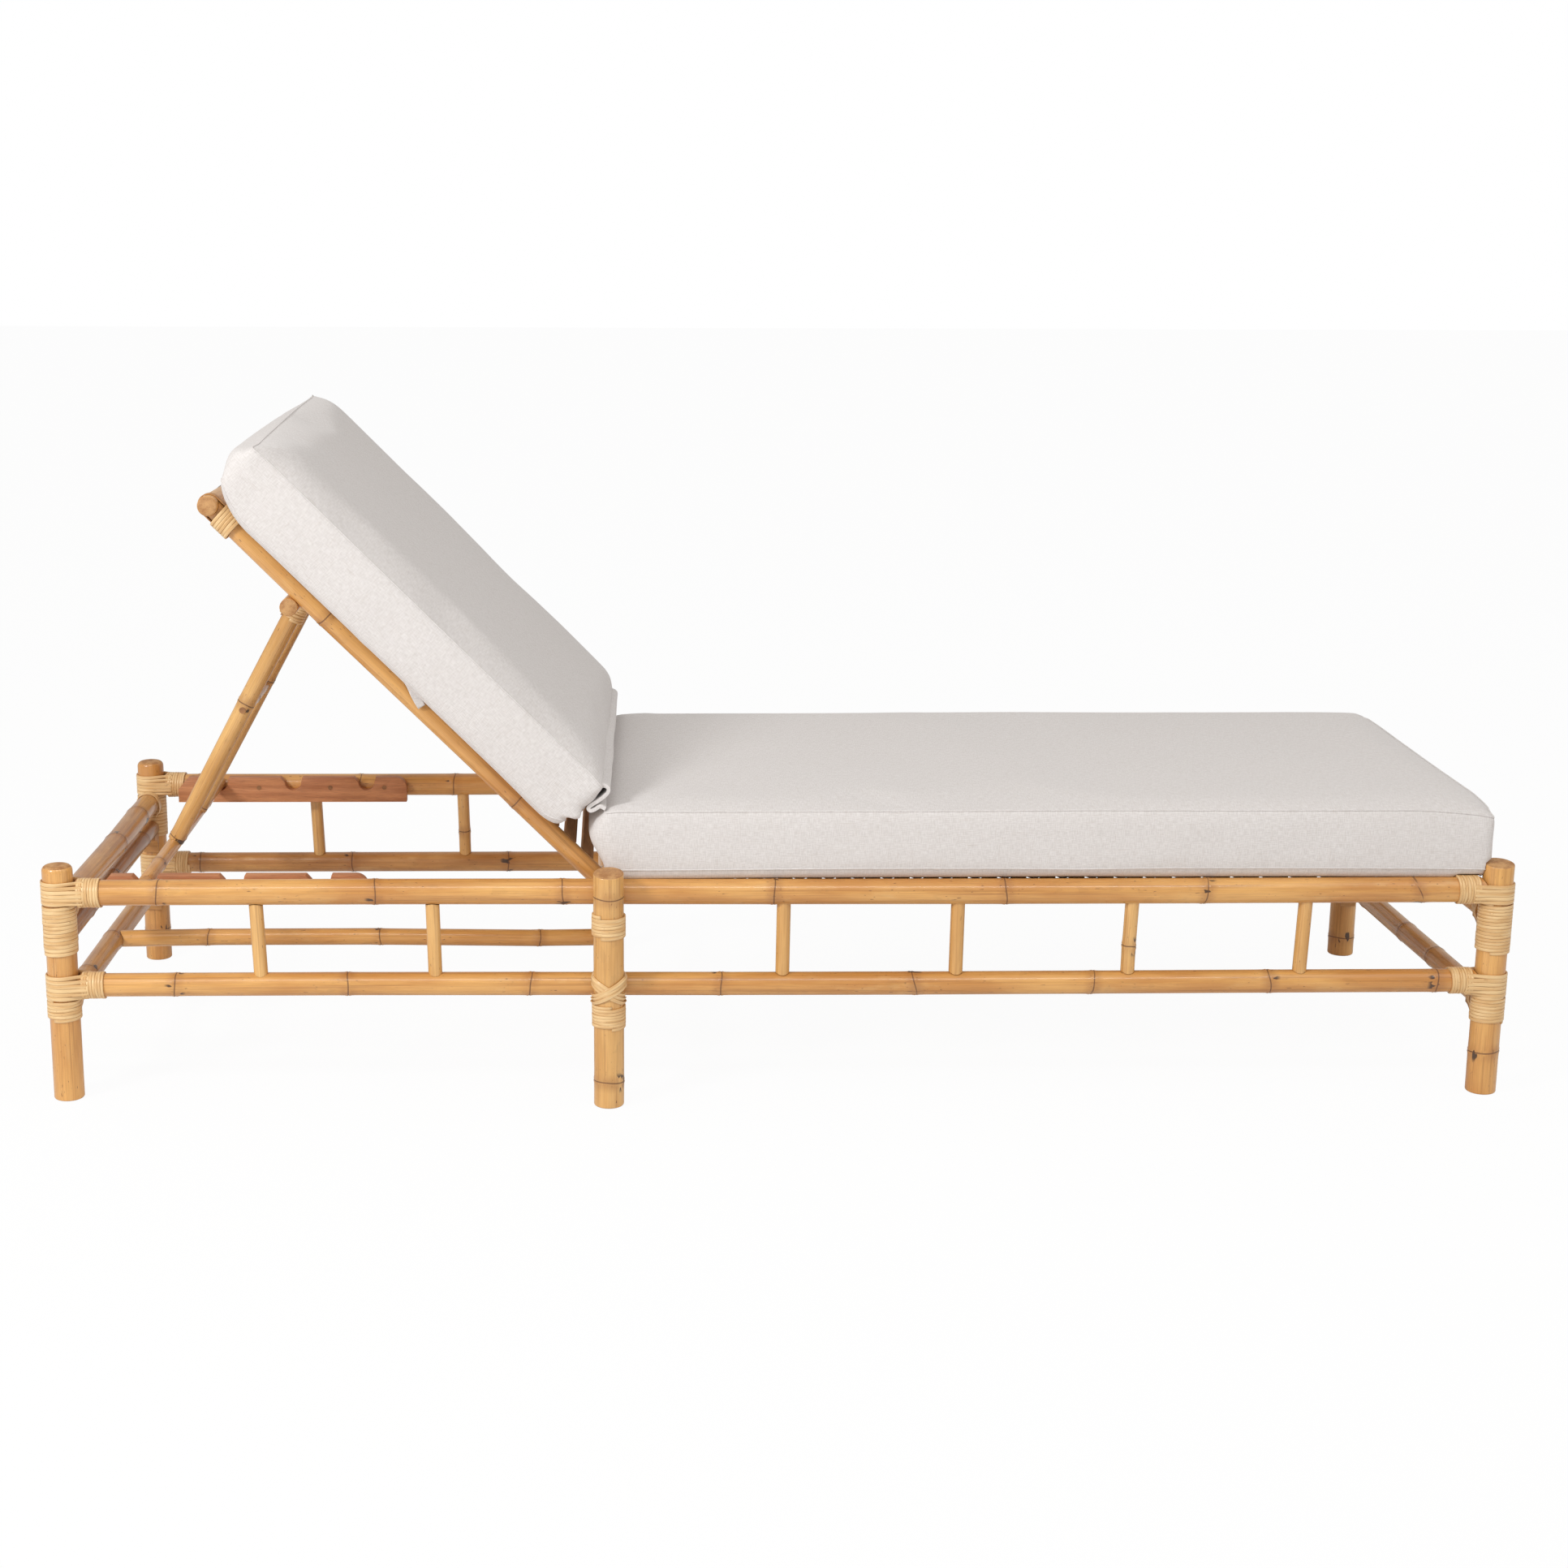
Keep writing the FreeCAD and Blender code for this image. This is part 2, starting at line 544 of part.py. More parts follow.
def make_back_frame():
    """Side rails with bored round lower ends, the head crossbar, its straps and collars."""
    straps = []
    collars = []
    head = V(-BACK_L, 0, 0)
    crossbar_space = rod(head - ACROSS * SIDE_Y, head + ACROSS * SIDE_Y, CROSSBAR_D + 2.0 * COPE_GAP)
    for side, way in SIDES.items():
        y = way * BACK_RAIL_Y
        rail = rod(V(0, y, 0), V(-BACK_L, y, 0), BACK_RAIL_D)
        rail = rail.fuse(Part.makeSphere(BACK_RAIL_R, V(0, y, 0))).removeSplitter()
        bore = rod(V(0, y - BACK_RAIL_D, 0), V(0, y + BACK_RAIL_D, 0), HINGE_PIN_D + 2.0 * PIN_GAP)
        rail = rail.cut(bore).cut(crossbar_space).cut(pivot_peg(way, PIVOT_PEG_D + 2.0 * PIN_GAP))
        keep("back_rail_%s" % side, raised(rail))
        loop_r = max(CROSSBAR_D, BACK_RAIL_D) / 2.0
        tail = CROSSBAR_D / 2.0 + CROSSBAR_COLLAR_LENGTH
        loop = strap(loop_r, CROSSBAR_STRAP_W, tail)
        loop.translate(V(-BACK_L, y, 0))
        straps.append(raised(loop))
        core = strapped_core(loop_r, CROSSBAR_STRAP_W)
        base = V(-BACK_L + CROSSBAR_D / 2.0 + COLLAR_OFFSET, y, 0)
        coil = winding("crossbar_collar", base, ALONG, UP, core, CROSSBAR_COLLAR_LENGTH, CROSSBAR_COLLAR_LOOPS)
        collars.append(raised(coil))
    bar = rod(head - ACROSS * (CROSSBAR_SPAN / 2.0), head + ACROSS * (CROSSBAR_SPAN / 2.0), CROSSBAR_D)
    rims = [edge for edge in bar.Edges if edge.BoundBox.YLength < CROSSBAR_D / 2.0]
    keep("head_crossbar", raised(bar.makeFillet(CROSSBAR_END_ROUND, rims)))
    keep("crossbar_straps", *straps)
    keep("crossbar_collars", *collars)


def make_back_deck():
    """Ledges inside the back rails and the slats that carry the back cushion."""
    far_x = -BACK_DECK_END
    near_x = -(BACK_SLAT_START - SLAT_W / 2.0)
    for side, way in SIDES.items():
        wall = BACK_RAIL_Y - BACK_RAIL_R - COPE_GAP
        low_y = min(way * wall, way * (wall - BACK_LEDGE_W))
        ledge = Part.makeBox(near_x - far_x, BACK_LEDGE_W, BACK_LEDGE_H)
        ledge.translate(V(far_x, low_y, BACK_LEDGE_TOP - BACK_LEDGE_H))
        keep("back_ledge_%s" % side, raised(ledge))
    span = 2.0 * (BACK_RAIL_Y - BACK_RAIL_R - COPE_GAP)
    slats = []
    s = BACK_SLAT_START
    while s + SLAT_W / 2.0 <= BACK_DECK_END:
        slat = Part.makeBox(SLAT_W, span, SLAT_T)
        slat.translate(V(-s - SLAT_W / 2.0, -span / 2.0, BACK_LEDGE_TOP))
        slats.append(raised(slat))
        s += BACK_SLAT_PITCH
    keep("back_slats", *slats)


def pivot_peg(way, diameter):
    """A peg driven down through a back rail into the pivot pole; drawn flat."""
    top = V(-PIVOT_S, way * BACK_RAIL_Y, BACK_RAIL_R)
    low = V(-PIVOT_S, way * BACK_RAIL_Y, PIVOT_N - PIVOT_POLE_D / 4.0)
    return rod(top, low, diameter)


def make_pivot_pole():
    """The pole pegged under the back rails that the prop hangs from."""
    centre = V(-PIVOT_S, 0, PIVOT_N)
    pole = rod(centre - ACROSS * (PIVOT_POLE_SPAN / 2.0), centre + ACROSS * (PIVOT_POLE_SPAN / 2.0), PIVOT_POLE_D)
    pegs = []
    for way in SIDES.values():
        pole = pole.cut(pivot_peg(way, PIVOT_PEG_D + 2.0 * PIN_GAP))
        pegs.append(raised(pivot_peg(way, PIVOT_PEG_D)))
    keep("pivot_pole", raised(pole))
    keep("pivot_pole_pegs", *pegs)


def prop_d(distance):
    """The prop pole's diameter at a distance from the pivot."""
    return PROP_TOP_D + (PROP_FOOT_D - PROP_TOP_D) * distance / PROP_L


def make_prop():
    """Two poles on the pivot pole, joined by a spreader, standing on the bar in the racks."""
    to_prop = FreeCAD.Placement(PIVOT, FreeCAD.Rotation(ALONG, PROP_DOWN))
    across = ACROSS * SIDE_Y
    pivot_space = rod(PIVOT - across, PIVOT + across, PIVOT_POLE_D + 2.0 * PIVOT_RUN_GAP)
    bar_space = rod(PROP_FOOT - across, PROP_FOOT + across, PROP_BAR_D + 2.0 * COPE_GAP)
    spread = PIVOT + PROP_DOWN * SPREADER_FROM_PIVOT
    spread_r = prop_d(SPREADER_FROM_PIVOT) / 2.0
    spreader = rod(spread - ACROSS * PROP_POLE_Y, spread + ACROSS * PROP_POLE_Y, SPREADER_D)
    straps = []
    bindings = []
    plugs = []
    for side, way in SIDES.items():
        offset = ACROSS * (way * PROP_POLE_Y)
        top = PIVOT + offset + PROP_DOWN * PROP_LIP
        foot = PROP_FOOT + offset - PROP_DOWN * PROP_LIP
        solid_pole = rod(top, foot, prop_d(PROP_LIP), prop_d(PROP_L - PROP_LIP))
        face = spread + ACROSS * (way * (PROP_POLE_Y + spread_r))
        hole = rod(face + ACROSS * (way * PLUG_D), face - ACROSS * (way * PLUG_L), PLUG_D + 2.0 * PIN_GAP)
        plugs.append(rod(face + ACROSS * (way * PLUG_PROUD), face - ACROSS * (way * PLUG_L), PLUG_D))
        pole = solid_pole.cut(pivot_space).cut(bar_space).cut(hole)
        keep("prop_pole_%s" % side, pole)
        fat_pole = rod(PIVOT + offset, PROP_FOOT + offset, PROP_TOP_D + 2 * COPE_GAP, PROP_FOOT_D + 2 * COPE_GAP)
        spreader = spreader.cut(fat_pole)
        loop_r = max(PIVOT_POLE_D / 2.0 + PIVOT_RUN_GAP, PROP_TOP_D / 2.0)
        loop = place(strap(loop_r, PROP_STRAP_W, PROP_BINDING_START + PROP_BINDING_LENGTH), to_prop)
        loop.translate(offset)
        straps.append(loop)
        core = strapped_core(loop_r, PROP_STRAP_W)
        base = PIVOT + offset + PROP_DOWN * PROP_BINDING_START
        coil = winding("prop_binding", base, PROP_DOWN, ACROSS, core, PROP_BINDING_LENGTH, PROP_BINDING_LOOPS)
        bindings.append(coil)
    keep("prop_spreader", max(spreader.Solids, key=lambda solid: solid.Volume))
    keep("prop_plugs", *plugs)
    keep("prop_straps", *straps)
    keep("prop_bindings", *bindings)
    half_span = ACROSS * (PROP_BAR_SPAN / 2.0)
    keep("prop_foot_bar", rod(PROP_FOOT - half_span, PROP_FOOT + half_span, PROP_BAR_D))


def cushion_section(x, half_w, low, high, crown):
    """One cross-section of a boxed cushion: flat base, bowed sides and a crowned top."""
    base = half_w - CUSHION_BULGE
    middle = (low + high) / 2.0
    bow = half_w + CUSHION_BULGE
    edges = [
        Part.LineSegment(V(x, -base, low), V(x, base, low)).toShape(),
        Part.Arc(V(x, base, low), V(x, bow, middle), V(x, half_w, high)).toShape(),
        Part.Arc(V(x, half_w, high), V(x, 0, high + crown), V(x, -half_w, high)).toShape(),
        Part.Arc(V(x, -half_w, high), V(x, -bow, middle), V(x, -base, low)).toShape(),
    ]
    return Part.Wire(edges)


def cushion(start_x, length, width, base_z, start_round):
    """A boxed cushion lofted along X: rounded ends, and long sides that draw in between the corners."""
    half = width / 2.0
    top = base_z + CUSHION_T - CUSHION_CROWN
    wires = []
    for step in range(CUSHION_STATIONS + 1):
        across = step / CUSHION_STATIONS
        x = length * 0.5 * (1.0 - math.cos(math.pi * across))
        to_end = min(x, length - x)
        end = start_round if to_end == x else CUSHION_END_ROUND
        lower = end * max(0.0, 1.0 - to_end / end) ** 2
        narrower = lower + CUSHION_DRAW_IN * math.sin(math.pi * x / length)
        crown = CUSHION_CROWN * math.sin(math.pi * (0.1 + 0.8 * x / length))
        wires.append(cushion_section(start_x + x, half - narrower, base_z + lower, top - lower, crown))
    return Part.makeLoft(wires, True, True)


def make_cushions():
    """The two cushions, hollowed where they bear on leg tops, collars and straps."""
    length = SEAT_CUSHION_FOOT_X - SEAT_CUSHION_HEAD_X
    seat = cushion(SEAT_CUSHION_HEAD_X, length, SEAT_CUSHION_W, SEAT_BASE_Z, CUSHION_END_ROUND)
    far_x = -(BACK_CUSHION_S0 + BACK_CUSHION_L)
    back = cushion(far_x, BACK_CUSHION_L, BACK_CUSHION_W, BACK_BASE_N, BACK_CUSHION_HEAD_ROUND)
    strap_r = max(CROSSBAR_D, BACK_RAIL_D) / 2.0
    bound_r = strapped_core(strap_r, CROSSBAR_STRAP_W) + WRAP_OUTER
    bound_l = CROSSBAR_D / 2.0 + 2.0 * COLLAR_OFFSET + CROSSBAR_COLLAR_LENGTH
    for way in SIDES.values():
        leg = V(FOOT_LEG_X, way * SIDE_Y, 0)
        rail = V(COLLAR_FOOT_X - COLLAR_OFFSET, way * SIDE_Y, TOP_RAIL_Z)
        seat = seat.cut(space_round(leg, leg + UP * (LEG_H + CUSHION_RELIEF), LEG_R))
        seat = seat.cut(space_round(rail, rail + ALONG * COLLAR_LENGTH, TOP_RAIL_R + WRAP_OUTER))
        corner = V(-BACK_L, way * BACK_RAIL_Y, 0)
        strap_edge = ACROSS * (CROSSBAR_STRAP_W / 2.0 + CUSHION_RELIEF)
        back = back.cut(space_round(corner - strap_edge, corner + strap_edge, strap_r + WRAP_GAP + STRAP_T))
        back = back.cut(space_round(corner, corner + ALONG * bound_l, bound_r))
    keep("seat_cushion", seat)
    keep("back_cushion", raised(back))


def main():
    make_legs()
    make_side_rails()
    make_cross_poles()
    make_balusters()
    make_racks()
    make_seat_deck()
    make_hinges()
    make_back_frame()
    make_back_deck()
    make_pivot_pole()
    make_prop()
    make_cushions()
    os.makedirs("parts", exist_ok=True)
    for name, shape in nodes.items():
        if not shape.isValid():
            print("not a valid shape:", name)
        shape.exportStep("parts/%s.step" % name)
    print(len(nodes), "nodes")
    print("pivot", PIVOT, "prop length", round(PROP_L, 1), "prop foot", PROP_FOOT)


main()
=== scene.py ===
"""The looks of a bamboo sun lounger: poles, cane windings, hardwood racks and linen cushions."""

import json
import math
import random

import bpy
from mathutils import Matrix, Vector, noise


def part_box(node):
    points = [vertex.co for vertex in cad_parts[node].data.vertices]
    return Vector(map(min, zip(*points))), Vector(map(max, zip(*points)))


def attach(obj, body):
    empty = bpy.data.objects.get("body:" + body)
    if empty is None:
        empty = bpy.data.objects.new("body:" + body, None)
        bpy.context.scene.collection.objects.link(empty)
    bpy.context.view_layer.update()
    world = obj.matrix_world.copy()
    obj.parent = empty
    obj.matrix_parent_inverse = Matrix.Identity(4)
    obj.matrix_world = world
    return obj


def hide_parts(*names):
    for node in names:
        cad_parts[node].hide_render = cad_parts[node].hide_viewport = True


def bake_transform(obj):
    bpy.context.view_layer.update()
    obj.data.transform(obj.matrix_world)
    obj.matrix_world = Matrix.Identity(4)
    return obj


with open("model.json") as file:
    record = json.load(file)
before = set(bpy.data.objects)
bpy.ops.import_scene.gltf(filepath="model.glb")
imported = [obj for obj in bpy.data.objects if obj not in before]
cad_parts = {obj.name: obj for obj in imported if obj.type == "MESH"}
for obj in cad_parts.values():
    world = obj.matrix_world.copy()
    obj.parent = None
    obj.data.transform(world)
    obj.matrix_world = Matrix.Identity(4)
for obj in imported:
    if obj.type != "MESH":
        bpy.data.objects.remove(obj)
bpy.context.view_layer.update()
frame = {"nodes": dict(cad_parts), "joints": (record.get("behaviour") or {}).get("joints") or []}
bpy.ops.object.select_all(action="DESELECT")

MM = 0.001
TINY = 1e-5
SIDES = {"right": -1, "left": 1}
ALONG = Vector((1, 0, 0))
ACROSS = Vector((0, 1, 0))
UP = Vector((0, 0, 1))


# Shader maths


class Value:
    """A number, colour or vector in a shader; sums and products of it add the nodes they need."""

    def __init__(self, nodes, socket):
        self.nodes = nodes
        self.socket = socket

    def maths(self, operation, *values):
        return self.nodes.node("ShaderNodeMath", {"operation": operation}, dict(enumerate(values)))

    def __add__(self, other):
        return self.maths("ADD", self, other)

    def __radd__(self, other):
        return self.maths("ADD", other, self)

    def __sub__(self, other):
        return self.maths("SUBTRACT", self, other)

    def __rsub__(self, other):
        return self.maths("SUBTRACT", other, self)

    def __mul__(self, other):
        return self.maths("MULTIPLY", self, other)

    def __rmul__(self, other):
        return self.maths("MULTIPLY", other, self)

    def above(self, low, high):
        """0 below low, 1 above high, and a smooth step between."""
        settings = {"interpolation_type": "SMOOTHSTEP"}
        values = {"Value": self, "From Min": low, "From Max": high}
        return self.nodes.node("ShaderNodeMapRange", settings, values)


class Nodes:
    """The node tree of a material or a world."""

    def __init__(self, owner):
        owner.use_nodes = True
        self.tree = owner.node_tree

    def node(self, kind, settings=None, values=None, output=0):
        """A node with its settings made first, then its sockets set or linked."""
        made = self.tree.nodes.new(kind)
        for setting, value in (settings or {}).items():
            setattr(made, setting, value)
        for socket, value in (values or {}).items():
            if isinstance(value, Value):
                self.tree.links.new(value.socket, made.inputs[socket])
            else:
                made.inputs[socket].default_value = value
        return Value(self, made.outputs[output])

    def end_with(self, shader, name):
        """Let a shader be what the tree gives out."""
        self.tree.links.new(shader.socket, self.tree.nodes[name].inputs[0])

    def white_to_camera(self, share, lit, white):
        """A shader that the camera sees mixed with white by a share, while other rays meet it alone."""
        seen = self.node("ShaderNodeLightPath", output="Is Camera Ray")
        through = self.node("ShaderNodeLightPath", output="Is Transmission Ray")
        return self.node("ShaderNodeMixShader", None, {0: (seen + through) * share, 1: lit, 2: white})


class Finish(Nodes):
    """One material, with the shader that its colour, roughness and bump feed."""

    def __init__(self, name, **constants):
        self.material = bpy.data.materials.new(name)
        super().__init__(self.material)
        self.shader = self.tree.nodes["Principled BSDF"]
        for socket, value in constants.items():
            self.shader.inputs[socket.replace("_", " ")].default_value = value

    def place(self, name=None):
        """Where a point is: a named attribute of the piece, or its object coordinates."""
        if name:
            return self.node("ShaderNodeAttribute", {"attribute_name": name}, output="Vector")
        return self.node("ShaderNodeTexCoord", output="Object")

    def number(self, name):
        return self.node("ShaderNodeAttribute", {"attribute_name": name}, output="Fac")

    def stretched(self, place, x, y, z):
        """The place with each axis scaled, so that a pattern on it is drawn out."""
        return self.node("ShaderNodeVectorMath", {"operation": "MULTIPLY"}, {0: place, 1: (x, y, z)})

    def noise(self, place, detail=3.0, rough=0.55):
        values = {"Vector": place, "Scale": 1.0, "Detail": detail, "Roughness": rough}
        return self.node("ShaderNodeTexNoise", None, values)

    def mix(self, share, first, second):
        return self.node("ShaderNodeMix", {"data_type": "RGBA"}, {0: share, 6: first, 7: second}, output=2)

    def paint(self, colour, rough, relief, height):
        """Feed the shader, and give the material back."""
        bump = self.node("ShaderNodeBump", None, {"Height": relief, "Distance": height, "Strength": 1.0})
        self.tree.links.new(colour.socket, self.shader.inputs["Base Color"])
        self.tree.links.new(rough.socket, self.shader.inputs["Roughness"])
        self.tree.links.new(bump.socket, self.shader.inputs["Normal"])
        return self.material


def tone(red, green, blue):
    """A colour named by its screen values from 0 to 255, in the linear values that a shader takes."""
    def linear(value):
        share = value / 255
        return share / 12.92 if share <= 0.04045 else ((share + 0.055) / 1.055) ** 2.4

    return (linear(red), linear(green), linear(blue), 1.0)


def bamboo_finish(name, light, dark, charred=0.635):
    """Varnished bamboo: fibres along the pole, brown rings at the nodes, freckles and scorched marks."""
    f = Finish(name, Coat_Weight=0.6, Coat_Roughness=0.13)
    grain = f.place("grain")
    ring = f.number("ring")
    broad = f.noise(f.stretched(grain, 24, 24, 5), detail=4)
    fibre = f.noise(f.stretched(grain, 900, 900, 14), detail=3, rough=0.7)
    patch = f.noise(f.stretched(grain, 60, 60, 18), detail=3)
    colour = f.mix(broad.above(0.32, 0.68), tone(*light), tone(*dark))
    colour = f.mix(fibre.above(0.35, 0.75) * 0.35, colour, tone(156, 104, 54))
    colour = f.mix(patch.above(0.56, 0.75) * 0.3, colour, tone(232, 190, 128))
    streak = f.noise(f.stretched(grain, 210, 210, 3), detail=2)
    colour = f.mix(streak.above(0.52, 0.7) * 0.4, colour, tone(158, 102, 52))
    freckles = f.noise(f.stretched(grain, 480, 480, 120), detail=1)
    freckled = freckles.above(0.7, 0.75) * patch.above(0.42, 0.56)
    colour = f.mix(freckled * 0.7, colour, tone(110, 66, 32))
    halo = ring.above(0.02, 0.5) * patch.above(0.25, 0.6)
    colour = f.mix(halo * 0.4, colour, tone(150, 92, 48))
    spots = f.noise(f.stretched(grain, 70, 70, 32), detail=2)
    scorch = spots.above(charred, charred + 0.03) * ring.above(0.05, 0.3)
    colour = f.mix(scorch * 0.9, colour, tone(44, 28, 20))
    line = ring.above(0.55, 0.95)
    colour = f.mix(line * 0.85, colour, tone(98, 60, 32))
    rough = 0.32 + fibre * 0.16 + line * 0.25
    return f.paint(colour, rough, fibre * 0.5 + patch * 0.6 - freckled * 0.4, 0.25 * MM)


def sawn_finish():
    """Sawn bamboo ends: pores in a tan ground."""
    f = Finish("sawn_bamboo")
    grain = f.place("grain")
    pores = f.noise(f.stretched(grain, 1100, 1100, 260), detail=2, rough=0.7)
    cloud = f.noise(f.stretched(grain, 80, 80, 80), detail=4)
    colour = f.mix(cloud.above(0.35, 0.65), tone(206, 158, 104), tone(172, 120, 72))
    colour = f.mix(pores.above(0.5, 0.72) * 0.5, colour, tone(118, 78, 46))
    return f.paint(colour, 0.5 + cloud * 0.2, cloud - pores * 0.7, 0.4 * MM)


def cane_finish(name, light, dark):
    """Split cane: pale straw strips with a gloss skin, fibres running along each strip, and painted shade
    darkening each strip towards its edges.
    """
    f = Finish(name, Coat_Weight=0.25, Coat_Roughness=0.2)
    grain = f.place("grain")
    turn = f.noise(f.stretched(grain, 14, 200, 10), detail=2)
    fibre = f.noise(f.stretched(grain, 30, 2400, 20), detail=2)
    stain = f.noise(f.stretched(grain, 90, 260, 60), detail=3)
    edge = f.number("edge")
    colour = f.mix(turn.above(0.32, 0.68), tone(*light), tone(*dark))
    colour = f.mix(fibre.above(0.4, 0.8) * 0.35, colour, tone(184, 138, 84))
    colour = f.mix(stain.above(0.64, 0.74) * 0.4, colour, tone(150, 100, 56))
    # Painted shade: each strip darkens towards its edges, standing in for the shade in the grooves between
    # neighbouring strips
    colour = f.mix(edge.above(0.8, 1.0) * 0.4, colour, tone(172, 120, 70))
    return f.paint(colour, 0.32 + fibre * 0.2, fibre * 0.5 + turn * 0.6, 0.15 * MM)


def hardwood_finish(name, light, dark, gloss, place=None):
    """Planed hardwood with its grain along the first axis of its attribute."""
    f = Finish(name)
    grain = f.place(place)
    figure = f.noise(f.stretched(grain, 9, 90, 90), detail=5, rough=0.6)
    pores = f.noise(f.stretched(grain, 60, 1300, 1300), detail=2)
    streak = f.noise(f.stretched(grain, 4, 260, 260), detail=3)
    colour = f.mix(figure.above(0.3, 0.7), tone(*light), tone(*dark))
    colour = f.mix(streak.above(0.45, 0.7) * 0.45, colour, tone(*dark))
    colour = f.mix(pores.above(0.5, 0.8) * 0.5, colour, tone(*(value * 0.6 for value in dark)))
    return f.paint(colour, gloss + figure * 0.15, pores + figure * 0.5, 0.3 * MM)


def linen_finish():
    """Plain weave of slubbed yarn, laid along the cloth by the piece's own UV map."""
    f = Finish("linen_cover", Sheen_Weight=0.2, Sheen_Roughness=0.5)
    cloth = f.node("ShaderNodeUVMap", {"uv_map": "cloth"})
    warp = f.noise(f.stretched(cloth, 900, 110, 1), detail=1, rough=0.5)
    weft = f.noise(f.stretched(cloth, 110, 900, 1), detail=1, rough=0.5)
    slub = f.noise(f.stretched(cloth, 480, 30, 1), detail=1).above(0.62, 0.74)
    slub_across = f.noise(f.stretched(cloth, 30, 480, 1), detail=1).above(0.62, 0.74)
    cloud = f.noise(f.stretched(cloth, 5, 5, 1), detail=2)
    threads = warp * 0.5 + weft * 0.5
    colour = f.mix(threads.above(0.36, 0.64), tone(212, 207, 204), tone(227, 223, 221))
    colour = f.mix((slub + slub_across) * 0.22, colour, tone(196, 185, 176))
    colour = f.mix(cloud.above(0.3, 0.7) * 0.08, colour, tone(214, 207, 202))
    return f.paint(colour, 0.82 + cloud * 0.1, threads + (slub + slub_across) * 0.4, 0.09 * MM)


BAMBOO = bamboo_finish("bamboo", (236, 180, 104), (208, 145, 74))
BAMBOO_PALE = bamboo_finish("bamboo_pale", (240, 192, 120), (218, 164, 92))
BAMBOO_MARKED = bamboo_finish("bamboo_marked", (224, 170, 100), (190, 132, 72), 0.58)
# A darker copy of the bamboo whose base tones are painted shade for an inner pole, with a few more scorch
# marks than the plain bamboo
BAMBOO_SHADED_SCORCHED = bamboo_finish("bamboo_shaded_scorched", (190, 138, 84), (154, 102, 60), 0.6)
SPLIT_BAMBOO = hardwood_finish("split_bamboo", (208, 156, 96), (176, 124, 72), 0.4)
SAWN = sawn_finish()
CANE = cane_finish("split_cane", (242, 208, 154), (222, 178, 120))
RACK_WOOD = hardwood_finish("rack_hardwood", (212, 146, 98), (176, 112, 72), 0.42, "grain")
SLAT_WOOD = hardwood_finish("slat_wood", (214, 162, 108), (182, 130, 82), 0.5, "grain")
PLUG_WOOD = hardwood_finish("plug_wood", (176, 128, 84), (132, 88, 54), 0.5)
LINEN = linen_finish()


# Modelling helpers


def choose(piece):
    """Select one piece alone and make it the active one."""
    bpy.ops.object.select_all(action="DESELECT")
    bpy.context.view_layer.objects.active = piece
    piece.select_set(True)


def edit(piece, action="DESELECT"):
    """Open one piece for editing, with everything in it selected or deselected."""
    choose(piece)
    bpy.ops.object.mode_set(mode="EDIT")
    bpy.ops.mesh.select_all(action=action)


def close_edit():
    bpy.ops.object.mode_set(mode="OBJECT")


def close_outwards():
    """Turn every face of the piece that is open outwards, then close it."""
    bpy.ops.mesh.select_all(action="SELECT")
    bpy.ops.mesh.normals_make_consistent(inside=False)
    close_edit()


def draw_out(z):
    """Extrude what is selected up the Z axis."""
    bpy.ops.mesh.extrude_region_move(TRANSFORM_OT_translate={"value": (0, 0, z)})


def finished(piece, kind, **settings):
    """Add a modifier to a piece and apply it."""
    modifier = piece.modifiers.new(kind.lower(), kind)
    for name, value in settings.items():
        setattr(modifier, name, value)
    bpy.context.view_layer.objects.active = piece
    bpy.ops.object.modifier_apply(modifier=modifier.name)


def settled(piece, matrix):
    """Move a piece to its place in the lounger, with the object left at the origin."""
    bpy.context.view_layer.update()
    piece.data.transform(matrix @ piece.matrix_world)
    piece.matrix_world = Matrix.Identity(4)
    return piece


def outwards(piece):
    """Turn every face outwards."""
    edit(piece)
    close_outwards()


def smoothed(piece, degrees=50):
    """Shade a piece smooth, but for its sharp edges."""
    choose(piece)
    bpy.ops.object.shade_smooth_by_angle(angle=math.radians(degrees))


def dressed(piece, name, body, finishes, nodes=()):
    """Name a finished piece, give it its finishes, hang it from its body's empty, and hide the CAD nodes it
    stands for.
    """
    piece.name = name
    piece.data.name = name
    piece.data.materials.clear()
    for finish in finishes:
        piece.data.materials.append(finish)
    if body:
        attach(piece, body)
    if nodes:
        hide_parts(*nodes)
    return piece


def mark(piece, grains, name=None, numbers=None):
    """Write each point's place along its own grain, and a number, for the finishes to read."""
    spots = piece.data.attributes.new("grain", "FLOAT_VECTOR", "POINT")
    spots.data.foreach_set("vector", [value for spot in grains for value in spot])
    if name:
        shares = piece.data.attributes.new(name, "FLOAT", "POINT")
        shares.data.foreach_set("value", numbers)


def joined(pieces):
    """Several pieces made one mesh."""
    choose(pieces[0])
    for piece in pieces:
        piece.select_set(True)
    if len(pieces) > 1:
        bpy.ops.object.join()
    return pieces[0]


def mirrored(piece):
    """A copy of a piece with its own mesh, on the other side of the lounger."""
    twin = piece.copy()
    twin.data = piece.data.copy()
    bpy.context.scene.collection.objects.link(twin)
    twin.data.transform(Matrix.Scale(-1, 4, ACROSS))
    twin.data.flip_normals()
    return twin


def along(start, end):
    """The matrix that takes a pole drawn up the Z axis to its line from start to end."""
    way = (end - start).normalized()
    rise = ACROSS if abs(way.z) > 0.95 else UP
    side = rise.cross(way).normalized()
    rise = way.cross(side)
    return Matrix((
        (side.x, rise.x, way.x, start.x),
        (side.y, rise.y, way.y, start.y),
        (side.z, rise.z, way.z, start.z),
        (0, 0, 0, 1),
    ))


def inner_box(node, space):
    """Lowest and highest corner of a CAD node in turned space."""
    back = space.inverted()
    spots = [back @ vertex.co for vertex in frame["nodes"][node].data.vertices]
    low = Vector([min(spot[i] for spot in spots) for i in range(3)])
    high = Vector([max(spot[i] for spot in spots) for i in range(3)])
    return low, high


